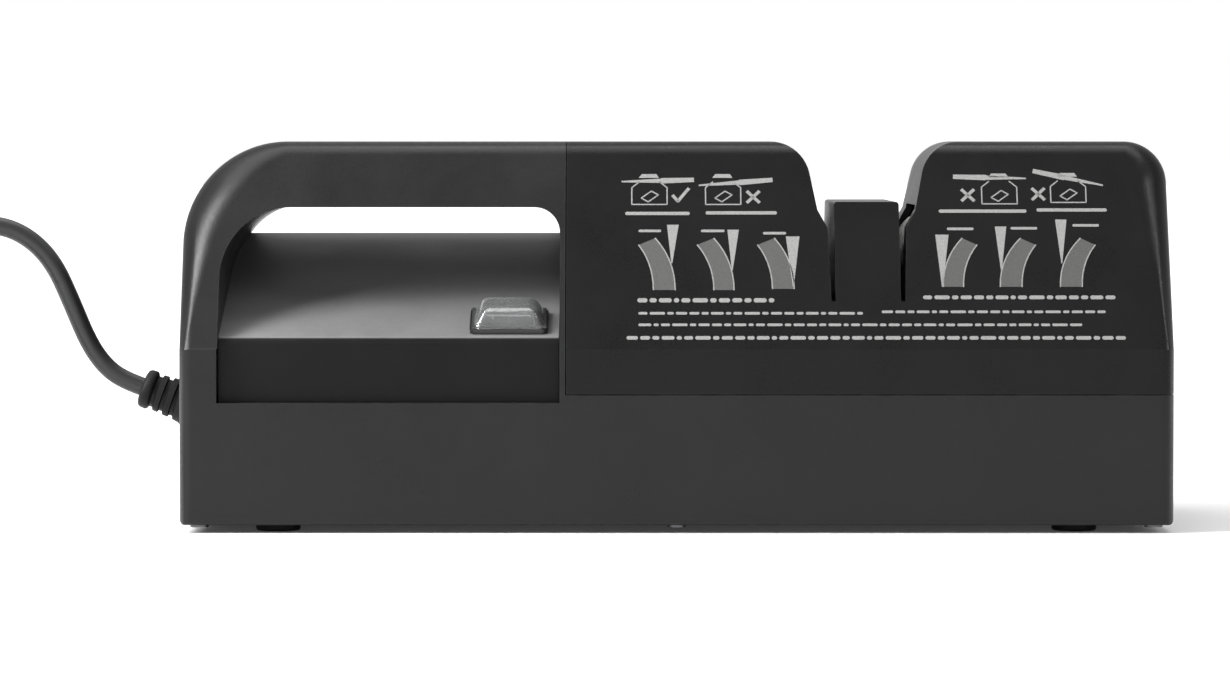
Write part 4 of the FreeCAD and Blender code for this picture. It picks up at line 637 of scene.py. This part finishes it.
def flat_line(bm, points, width):
    """A line of even width through the points, one four-sided face to each stretch."""
    for (x0, s0), (x1, s1) in zip(points, points[1:]):
        run = Vector((x1 - x0, s1 - s0))
        side = Vector((-run.y, run.x)).normalized() * width / 2
        over = run.normalized() * width * 0.2
        flat_shape(bm, [(x0 - side.x - over.x, s0 - side.y - over.y),
                        (x1 - side.x + over.x, s1 - side.y + over.y),
                        (x1 + side.x + over.x, s1 + side.y + over.y),
                        (x0 + side.x - over.x, s0 + side.y - over.y)])


def raise_ink(bm, height):
    """Gives the flat faces the ink's thickness, sunk a little into the surface."""
    bmesh.ops.translate(bm, verts=bm.verts, vec=(0, 0, -INK_SUNK))
    made = bmesh.ops.extrude_face_region(bm, geom=list(bm.faces))
    lifted = [part for part in made["geom"] if isinstance(part, bmesh.types.BMVert)]
    bmesh.ops.translate(bm, verts=lifted, vec=(0, 0, height + INK_SUNK))


def bow(start, foot, steps=7):
    """A curve that leaves start leaning and comes down upright at foot."""
    knee = (foot[0], start[1] - (start[1] - foot[1]) * 0.42)
    points = []
    for i in range(steps + 1):
        t = i / steps
        points.append(tuple((1 - t) ** 2 * a + 2 * t * (1 - t) * b + t * t * c
                            for a, b, c in zip(start, knee, foot)))
    return points


# Printed marks on the cover, in millimetres along X and up the slope from the crease

# Block: left, right, foot, top; knife: from, to; sign and its place
USE_PICTURES = [
    ((-13.9, -2.8, 49.4, 55.2), ((-17.1, 57.2), (5.7, 57.9)), "tick", (1.4, 52.3)),
    ((9.3, 20.4, 49.4, 55.2), ((7.2, 55.9), (30.5, 57.9)), "cross", (24.3, 52.0)),
    ((96.3, 107.4, 49.6, 55.4), ((110.4, 58.3), (87.4, 59.0)), "cross", (91.9, 52.6)),
    ((118.0, 129.1, 50.1, 55.6), ((134.6, 55.9), (112.6, 61.0)), "cross", (114.1, 53.0)),
]
# Belt: outer top, inner top, left foot, right foot; blade: left, right, top, tip
BELT_PICTURES = [
    ((-11.8, 35.5), (-6.6, 37.8), (-7.2, 20.1), (-0.4, 20.1), (-2.9, 0.8, 42.4, (-1.4, 29.2))),
    ((6.6, 35.5), (11.8, 37.8), (11.7, 20.1), (18.0, 20.1), (16.1, 19.7, 40.7, (17.5, 26.9))),
    ((25.5, 35.5), (30.8, 37.8), (30.0, 20.5), (36.8, 20.5), (34.4, 38.7, 38.4, (36.5, 21.2))),
    ((94.3, 35.5), (89.7, 37.8), (89.7, 21.2), (83.4, 21.2), (81.3, 85.5, 39.0, (83.1, 21.2))),
    ((112.7, 35.5), (108.0, 37.8), (108.0, 21.2), (101.2, 21.2),
     (100.1, 103.7, 41.8, (101.7, 26.9))),
    ((131.4, 35.5), (126.8, 37.8), (126.8, 21.2), (120.0, 21.2),
     (119.1, 122.7, 44.2, (120.7, 29.2))),
]
# Rows of bars that stand where the print has words: from, to, middle, height
PICTURE_ROWS = [
    (-16.0, 4.3, 46.3, 1.4), (9.3, 31.7, 46.5, 1.4), (82.6, 110.2, 47.1, 1.4),
    (113.4, 135.5, 47.5, 1.4), (-11.8, -4.7, 40.3, 1.1), (7.8, 15.2, 40.3, 1.1),
    (27.3, 34.5, 39.5, 1.1), (85.0, 93.4, 41.0, 1.1), (105.0, 113.4, 41.2, 1.1),
    (124.5, 132.8, 42.2, 1.1),
]
TEXT_ROWS = [
    (-12.2, 30.5, 16.6, 1.8), (77.0, 137.0, 17.6, 1.6), (-11.9, 58.1, 12.2, 1.1),
    (64.0, 133.8, 12.7, 1.1), (-11.9, 126.3, 8.3, 1.1), (-15.6, 139.7, 3.9, 1.5),
]
BAR_LENGTHS = (3.1, 2.2, 4.0, 1.6, 2.8, 4.8, 2.0, 3.5)
BAR_GAP = 0.7
BAR_WEIGHT = 0.8
# Width of a tick or a cross, how the belts' grey compares with the white, and the ink's roughness
SIGN_STROKE = 1.0
TINT_SHADE = 0.30
INK_ROUGH = 0.45


def print_rows(bm):
    """Plain bars in the place of words."""
    for x0, x1, middle, height in PICTURE_ROWS:
        flat_bar(bm, x0, x1, middle, height * BAR_WEIGHT)
    step = 0
    for x0, x1, middle, height in TEXT_ROWS:
        x = x0
        while x < x1 - 1.0:
            end = min(x + BAR_LENGTHS[step % len(BAR_LENGTHS)], x1)
            if x1 - end < 2.0:
                end = x1
            flat_bar(bm, x, end, middle, height * BAR_WEIGHT)
            x = end + BAR_GAP
            step += 1


def print_pictures(bm, stroke):
    """How to lay a knife: a block with a belt in it, a knife over it, a tick or a cross."""
    for (x0, x1, low, high), (heel, point), sign, (x, s) in USE_PICTURES:
        middle = (x0 + x1) / 2
        flat_line(bm, [(middle - 3.2, high + 2.0), (x0, high), (x0, low), (x1, low), (x1, high),
                       (middle + 3.2, high + 2.0)], stroke)
        belt = [(-2.6, 2.2), (0.6, 4.6), (2.8, 3.3), (-0.4, 0.9), (-2.6, 2.2)]
        flat_line(bm, [(middle + a, low + b) for a, b in belt], stroke)
        heel, point = Vector(heel), Vector(point)
        run = (point - heel).normalized()
        up = Vector((-run.y, run.x)) if run.x > 0 else Vector((run.y, -run.x))
        mid = heel.lerp(point, 0.55)
        flat_shape(bm, [(heel - up * 0.15)[:], (mid - up * 0.75)[:], (mid + up * 0.75)[:],
                        (heel + up * 0.35)[:]])
        flat_shape(bm, [(mid - up * 0.95)[:], (point - up * 0.75)[:], (point + up * 0.75)[:],
                        (mid + up * 0.95)[:]])
        flat_shape(bm, [(middle - 3.4, high + 3.4), (middle + 3.0, high + 3.4),
                        (middle + 2.2, high + 4.7), (middle - 2.4, high + 4.7)])
        if sign == "tick":
            flat_line(bm, [(x - 2.4, s + 0.2), (x - 0.8, s - 1.8), (x + 2.6, s + 2.6)],
                      SIGN_STROKE)
        else:
            for up in (-1.9, 1.9):
                flat_line(bm, [(x - 1.9, s + up), (x + 1.9, s - up)], SIGN_STROKE)


def print_blades(bm, stroke):
    """Outlines of the belts and the blades that lean on them."""
    for outer, inner, foot_outer, foot_inner, (x0, x1, top, tip) in BELT_PICTURES:
        flat_line(bm, bow(outer, foot_outer), stroke)
        flat_line(bm, bow(inner, foot_inner), stroke)
        flat_shape(bm, [(x0, top), (tip[0] - 0.15, tip[1]), (tip[0] + 0.15, tip[1]), (x1, top)])


def print_tint(bm):
    """The belts' bodies, between their outlines."""
    for outer, inner, foot_outer, foot_inner, _ in BELT_PICTURES:
        first, second = bow(outer, foot_outer), bow(inner, foot_inner)
        for a, b, c, d in zip(first, first[1:], second[1:], second):
            flat_shape(bm, [a, b, c, d])


class SHARPENER_OT_finishes(bpy.types.Operator):
    """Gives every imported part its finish"""
    bl_idname = "sharpener.finishes"
    bl_label = "Finish the parts"

    def execute(self, context):
        table = finishes()
        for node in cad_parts.values():
            for slot in node.material_slots:
                name = slot.material.name.split(".")[0]
                slot.material = table["tray_black" if node.name == "upper_housing" else name]
        return {"FINISHED"}


class SHARPENER_OT_cover_print(bpy.types.Operator):
    """Prints the marks on the belt cover's slope"""
    bl_idname = "sharpener.cover_print"
    bl_label = "Print the cover"

    def execute(self, context):
        height = sizes().ink_height / MM
        stroke = sizes().stroke / MM
        bm = bmesh.new()
        print_rows(bm)
        print_pictures(bm, stroke)
        print_blades(bm, stroke)
        raise_ink(bm, height)
        bmesh.ops.transform(bm, matrix=slope_matrix(), verts=bm.verts)
        ink = bare_mesh(bm, "cover_print", printed_ink("white ink", colours().ink, INK_ROUGH))
        ride_with_slot(ink, "cover")
        bm = bmesh.new()
        print_tint(bm)
        raise_ink(bm, height / 2)
        bmesh.ops.transform(bm, matrix=slope_matrix(), verts=bm.verts)
        tint = bare_mesh(bm, "cover_print_tint",
                         printed_ink("grey ink", [TINT_SHADE * c for c in colours().ink],
                                     INK_ROUGH))
        ride_with_slot(tint, "cover")
        return {"FINISHED"}


# Boot of the lead where it leaves the wall: distance along its axis and radius, in millimetres
WALL_X = -155.0
BOOT_BASE = (WALL_X, 0.0, 37.0)
BOOT_TILT = math.radians(20)
BOOT_PROFILE = [
    (-3.0, 0.0), (-3.0, 7.4), (2.0, 7.4), (3.0, 6.9), (5.0, 6.6), (5.4, 5.6), (6.4, 5.6),
    (6.8, 6.4), (8.6, 6.3), (9.0, 5.3), (10.0, 5.3), (10.4, 6.1), (12.0, 6.0), (12.4, 5.1),
    (13.4, 5.1), (13.8, 6.0), (14.4, 6.4), (16.2, 6.3), (17.0, 5.8), (17.45, 4.6),
    (17.45, 0.0),
]
NECK_PROFILE = [(-8.0, 0.0), (-8.0, 7.2), (-7.6, 7.6), (-6.6, 7.6), (-6.2, 7.2), (-6.2, 4.5),
                (1.0, 4.5), (1.0, 0.0)]
SPIN_STEPS = 56


def turned(bm, profile):
    """Spins a profile of distances along Z and radii into a closed shape."""
    verts = [bm.verts.new((radius, 0, reach)) for reach, radius in profile]
    edges = [bm.edges.new(pair) for pair in zip(verts, verts[1:])]
    bmesh.ops.spin(bm, geom=verts + edges, cent=(0, 0, 0), axis=(0, 0, 1), angle=2 * math.pi,
                   steps=SPIN_STEPS, use_merge=True)
    bmesh.ops.remove_doubles(bm, verts=bm.verts, dist=1e-4)


def boot_matrix():
    """From millimetres along the boot's axis to the frame."""
    way = Vector((-math.cos(BOOT_TILT), 0, math.sin(BOOT_TILT)))
    turn = Vector((0, 0, 1)).rotation_difference(way).to_matrix().to_4x4()
    return Matrix.Translation(Vector(BOOT_BASE) * MM) @ turn @ Matrix.Scale(MM, 4)


class SHARPENER_OT_lead_boot(bpy.types.Operator):
    """Turns the ribbed boot that guards the lead at the wall"""
    bl_idname = "sharpener.lead_boot"
    bl_label = "Make the lead's boot"

    def execute(self, context):
        bm = bmesh.new()
        turned(bm, BOOT_PROFILE)
        bmesh.ops.transform(bm, matrix=boot_matrix(), verts=bm.verts)
        cut = bmesh.ops.bisect_plane(bm, geom=list(bm.verts) + list(bm.edges) + list(bm.faces),
                                     plane_co=((WALL_X - 0.05) * MM, 0, 0),
                                     plane_no=(1, 0, 0), clear_outer=True)
        rim = [part for part in cut["geom_cut"] if isinstance(part, bmesh.types.BMEdge)]
        bmesh.ops.holes_fill(bm, edges=rim)
        neck = bmesh.new()
        turned(neck, NECK_PROFILE)
        bmesh.ops.transform(neck, matrix=boot_matrix(), verts=neck.verts)
        take_in(bm, neck)
        boot = bare_mesh(bm, "lead_boot", bpy.data.materials["gland rubber"], smooth=True)
        boot.data.set_sharp_from_angle(angle=math.radians(38))
        ride_with_slot(boot, "housing")
        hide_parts("cord_gland")
        return {"FINISHED"}


def coil_route():
    """Control points of the coil: half turns inwards, one that climbs, three outwards on top."""
    x, y, z = COIL_START
    points = [(x, y, z)]
    turns = [(radius, 0.0) for radius in COIL_LOWER_RADII] + [(COIL_CLIMB_RADIUS, COIL_RISE)]
    turns += [(radius, 0.0) for radius in COIL_UPPER_RADII]
    side = -1.0
    step = math.pi / COIL_STEPS
    for radius, rise in turns:
        middle = y + side * radius
        reach = radius / math.cos(step / 2)
        for i in range(COIL_STEPS):
            share = (i + 0.5) / COIL_STEPS
            angle = math.pi * share
            points.append((x + side * reach * math.sin(angle),
                           middle - side * reach * math.cos(angle), z + rise * share))
        y = middle + side * radius
        z += rise
        side = -side
    return points


class SHARPENER_OT_lead(bpy.types.Operator):
    """Lays the mains lead: its arch, its coil and the run to the plug"""
    bl_idname = "sharpener.lead"
    bl_label = "Lay the lead"

    def execute(self, context):
        route = LEAD_ROUTE + coil_route() + TAIL_ROUTE
        curve = bpy.data.curves.new("mains_lead", "CURVE")
        curve.dimensions = "3D"
        spline = curve.splines.new("NURBS")
        spline.points.add(len(route) - 1)
        for point, place in zip(spline.points, route):
            point.co = (place[0] * MM, place[1] * MM, place[2] * MM, 1.0)
        spline.order_u = 3
        spline.use_endpoint_u = True
        spline.resolution_u = 6
        curve.bevel_depth = sizes().lead_diameter / 2
        curve.bevel_resolution = 4
        curve.use_fill_caps = True
        lead = bpy.data.objects.new("mains_lead", curve)
        context.scene.collection.objects.link(lead)
        curve.materials.append(bpy.data.materials["lead sheath"])
        ride_with_slot(lead, "housing")
        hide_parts("cord_lead", "cord_coil", "cord_tail")
        return {"FINISHED"}


# Switch: front edge of its tray and its middle on the tray
TRAY_FRONT = (0.0, -50.0, 60.7)
ROCKER_MIDDLE = (-52.4, 12.0)
# Clear boot over the switch, on the tray: its foot above the tray, its plan, the rise and share
# of the plan of each step, the round of its upper edges and its wall
BOOT_FOOT = 1.6
BOOT_PLAN = (23.4, 16.9)
BOOT_STEPS = [(0.5, 1.0), (0.0, 0.94), (5.1, 0.70)]
BOOT_EDGE = 2.3
BOOT_WALL = 0.7


def tray_matrix():
    """From millimetres on the tray (along X, up the tray, off it) to the frame."""
    turn = Matrix.Rotation(TRAY_LEAN, 4, "X")
    return Matrix.Translation(Vector(TRAY_FRONT) * MM) @ turn @ Matrix.Scale(MM, 4)


class SHARPENER_OT_switch_boot(bpy.types.Operator):
    """Moulds the clear boot over the switch"""
    bl_idname = "sharpener.switch_boot"
    bl_label = "Mould the switch's boot"

    def execute(self, context):
        bm = bmesh.new()
        middle = (*ROCKER_MIDDLE, BOOT_FOOT)
        plan = Matrix.Diagonal((*BOOT_PLAN, 1.0, 1.0))
        bmesh.ops.create_grid(bm, x_segments=1, y_segments=1, size=0.5,
                              matrix=Matrix.Translation(middle) @ plan)
        crown = list(bm.faces)
        for rise, share in BOOT_STEPS:
            made = bmesh.ops.extrude_face_region(bm, geom=crown)["geom"]
            bmesh.ops.delete(bm, geom=[f for f in crown if f.is_valid], context="FACES_ONLY")
            lifted = [part for part in made if isinstance(part, bmesh.types.BMVert)]
            crown = [part for part in made if isinstance(part, bmesh.types.BMFace)]
            at = Matrix.Translation(middle)
            width = max(v.co.x for v in lifted) - middle[0]
            depth = max(v.co.y for v in lifted) - middle[1]
            bmesh.ops.scale(bm, verts=lifted, space=at.inverted(), vec=(
                share * BOOT_PLAN[0] / 2 / width, share * BOOT_PLAN[1] / 2 / depth, 1.0))
            bmesh.ops.translate(bm, verts=lifted, vec=(0, 0, rise))
        shoulder = BOOT_FOOT + BOOT_STEPS[0][0] + 0.1
        corners = [edge for edge in bm.edges if max(v.co.z for v in edge.verts) > shoulder]
        bmesh.ops.bevel(bm, geom=corners, offset=BOOT_EDGE, offset_type="OFFSET", segments=6,
                        profile=0.5, affect="EDGES", material=-1)
        bmesh.ops.recalc_face_normals(bm, faces=bm.faces)
        bmesh.ops.transform(bm, matrix=tray_matrix(), verts=bm.verts)
        mesh = bpy.data.meshes.new("switch_boot")
        bm.to_mesh(mesh)
        bm.free()
        mesh.materials.append(bpy.data.materials["clear boot"])
        mesh.shade_smooth()
        mesh.set_sharp_from_angle(angle=math.radians(32))
        boot = bpy.data.objects.new("switch_boot", mesh)
        context.scene.collection.objects.link(boot)
        wall = boot.modifiers.new("wall", "SOLIDIFY")
        wall.thickness = BOOT_WALL * MM
        wall.offset = -1.0
        wall.use_even_offset = True
        ride_with_slot(boot, "housing")
        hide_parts("switch_cap")
        return {"FINISHED"}


# Rocker: the height of its pin, its rest tilt, and the rise and reach of its halves
ROCKER_PIN_HEIGHT = -1.5
ROCKER_REST_TILT = math.radians(-8)
ROCKER_HALF_RISE = 1.5
ROCKER_HALF_REACH = 8.2
ROCKER_HALF_LEAN = math.atan2(ROCKER_HALF_RISE, ROCKER_HALF_REACH)
# Marks: how far from the pin and how high they sit, the bar's half size and the ring
MARK_REACH = 4.5
MARK_HEIGHT = 1.9 + ROCKER_HALF_RISE * MARK_REACH / ROCKER_HALF_REACH
BAR_HALF = (0.35, 1.7)
RING_RADIUS = 1.6
RING_STROKE = 0.45
RING_STEPS = 24


def rocker_face(side):
    """From millimetres on one half of the rocker's face to the frame."""
    pin = Matrix.Translation((*ROCKER_MIDDLE, ROCKER_PIN_HEIGHT))
    tilt = pin @ Matrix.Rotation(ROCKER_REST_TILT, 4, "Y") @ pin.inverted()
    face = Matrix.Translation((ROCKER_MIDDLE[0] + side * MARK_REACH, ROCKER_MIDDLE[1],
                               MARK_HEIGHT))
    return tray_matrix() @ tilt @ face @ Matrix.Rotation(-side * ROCKER_HALF_LEAN, 4, "Y")


class SHARPENER_OT_rocker_marks(bpy.types.Operator):
    """Puts the on bar and the off ring on the rocker"""
    bl_idname = "sharpener.rocker_marks"
    bl_label = "Mark the rocker"

    def execute(self, context):
        marks = bmesh.new()
        for side in (-1, 1):
            bm = bmesh.new()
            if side < 0:
                x, s = BAR_HALF
                flat_shape(bm, [(-x, -s), (x, -s), (x, s), (-x, s)])
            else:
                turns = [step * 2 * math.pi / RING_STEPS for step in range(RING_STEPS + 1)]
                flat_line(bm, [(RING_RADIUS * math.cos(turn), RING_RADIUS * math.sin(turn))
                               for turn in turns], RING_STROKE)
            raise_ink(bm, sizes().ink_height / MM)
            bmesh.ops.transform(bm, matrix=rocker_face(side), verts=bm.verts)
            take_in(marks, bm)
        piece = bare_mesh(marks, "rocker_marks", bpy.data.materials["white ink"])
        ride_with_slot(piece, "rocker")
        return {"FINISHED"}


# Studio: the camera's place in metres and the frame that its lens is given for, how strongly the
# white surroundings show in reflections, and the soft fill that they give the object
CAMERA_PLACE = (-0.0192, -1.555, 0.122)
SENSOR_WIDTH = 36.0
FAR_CLIP = 60.0
MIRRORED = 0.6
WORLD_FILL = 0.35
FLOOR_HALF = 12.0
# Distances from the object between which the floor's glow grows, and the glow there
GLOW_REACH = (0.30, 1.2)
GLOW = (0.04, 1.0)
# Lamps: name, place, what it faces, width and height, power
LAMPS = [
    ("overhead", (-0.1, 0.25, 1.8), (0, 0, 0), (2.0, 1.4), 24.0),
    ("front_fill", (-0.3, -1.9, 1.0), (0, 0, 0.06), (1.4, 0.5), 4.5),
    ("left_panel", (-0.92, -0.42, 0.74), (-0.14, -0.04, 0.09), (0.42, 0.8), 25.0),
    ("right_strip", (0.95, -0.30, 0.50), (0.14, -0.04, 0.09), (0.14, 0.6), 3.2),
]


def white_rays(web):
    """Mask of the rays for which the surroundings are white."""
    path = web.add("LightPath").outputs
    mirrored = web.maths("MULTIPLY", path["Is Glossy Ray"], MIRRORED)
    seen = web.maths("MAXIMUM", path["Is Camera Ray"], mirrored)
    return web.maths("MAXIMUM", seen, path["Is Transmission Ray"])


def lamp(name, place, target, size, power):
    """A soft rectangular lamp that faces the target."""
    light = bpy.data.lights.new(name, "AREA")
    light.shape = "RECTANGLE"
    light.size, light.size_y = size
    light.energy = power
    holder = bpy.data.objects.new(name, light)
    holder.location = place
    way = Vector(target) - Vector(place)
    holder.rotation_euler = way.to_track_quat("-Z", "Y").to_euler()
    bpy.context.scene.collection.objects.link(holder)


def studio_floor():
    """Pale floor that grows white away from the object and keeps its shadow."""
    bm = bmesh.new()
    bmesh.ops.create_grid(bm, x_segments=8, y_segments=8, size=FLOOR_HALF)
    material, web, shader = start_material("studio floor")
    place = web.add("TexCoord").outputs["Object"]
    paper = web.add("TexNoise", {"Vector": place, "Scale": 900.0, "Detail": 3.0}).outputs["Fac"]
    colour_now = web.blend(paper, rgba(colours().floor, 0.985), rgba(colours().floor))
    wire(web, shader, Base_Color=colour_now, Roughness=0.9, Specular_IOR_Level=0.1)
    distance = web.add("VectorMath", {0: place}, operation="LENGTH").outputs["Value"]
    away = web.spread(distance, *GLOW_REACH, *GLOW)
    glow = web.add("Emission", {"Color": (1, 1, 1, 1), "Strength": web.maths(
        "MULTIPLY", white_rays(web), away)})
    both = web.add("AddShader", {0: shader.outputs[0], 1: glow.outputs[0]})
    output = [node for node in web.tree.nodes if node.type == "OUTPUT_MATERIAL"][0]
    web.tree.links.new(both.outputs[0], output.inputs["Surface"])
    floor = bare_mesh(bm, "studio_floor", material)


def studio_world():
    """White to the camera and through clear plastic, and a soft grey fill for the rest."""
    world = bpy.data.worlds.new("studio")
    world.use_nodes = True
    world.node_tree.nodes.clear()
    web = Web(world.node_tree)
    strength = web.spread(white_rays(web), 0.0, 1.0, WORLD_FILL, 1.0)
    back = web.add("Background", {"Color": (1, 1, 1, 1), "Strength": strength})
    web.add("OutputWorld", {"Surface": back.outputs[0]})
    bpy.context.scene.world = world


class SHARPENER_OT_stage(bpy.types.Operator):
    """Sets the camera, the lamps, the floor and the world"""
    bl_idname = "sharpener.stage"
    bl_label = "Set the stage"

    def execute(self, context):
        camera = bpy.data.cameras.new("camera")
        camera.lens = sizes().camera_lens
        camera.sensor_width = SENSOR_WIDTH
        camera.clip_end = FAR_CLIP
        holder = bpy.data.objects.new("camera", camera)
        holder.location = CAMERA_PLACE
        holder.rotation_euler = (math.pi / 2 - sizes().camera_pitch, 0, 0)
        context.scene.collection.objects.link(holder)
        context.scene.camera = holder
        for setting in LAMPS:
            lamp(*setting)
        studio_floor()
        studio_world()
        context.scene.view_settings.view_transform = "Standard"
        return {"FINISHED"}


class SHARPENER_PT_panel(bpy.types.Panel):
    """Lists the sharpener's steps and settings"""
    bl_label = "Sharpener"
    bl_idname = "SHARPENER_PT_panel"
    bl_space_type = "VIEW_3D"
    bl_region_type = "UI"
    bl_category = "Sharpener"

    def draw(self, context):
        layout = self.layout
        for step in STEPS:
            layout.operator(step.bl_idname)
        for group in (context.scene.sharpener_sizes, context.scene.sharpener_colours):
            for name in group.bl_rna.properties.keys():
                if name not in ("rna_type", "name"):
                    layout.prop(group, name)


STEPS = (SHARPENER_OT_stage, SHARPENER_OT_finishes, SHARPENER_OT_lead_boot,
         SHARPENER_OT_lead, SHARPENER_OT_cover_print, SHARPENER_OT_switch_boot,
         SHARPENER_OT_rocker_marks)
GROUPS = (SharpenerSizes, SharpenerColours)


def register():
    for group in GROUPS + STEPS + (SHARPENER_PT_panel,):
        bpy.utils.register_class(group)
    bpy.types.Scene.sharpener_sizes = bpy.props.PointerProperty(type=SharpenerSizes)
    bpy.types.Scene.sharpener_colours = bpy.props.PointerProperty(type=SharpenerColours)


def unregister():
    del bpy.types.Scene.sharpener_colours
    del bpy.types.Scene.sharpener_sizes
    for group in reversed(GROUPS + STEPS + (SHARPENER_PT_panel,)):
        bpy.utils.unregister_class(group)


def main():
    register()
    bpy.ops.sharpener.stage()
    bpy.ops.sharpener.finishes()
    bpy.ops.sharpener.lead_boot()
    bpy.ops.sharpener.lead()
    bpy.ops.sharpener.cover_print()
    bpy.ops.sharpener.switch_boot()
    bpy.ops.sharpener.rocker_marks()


if __name__ == "__main__":
    main()
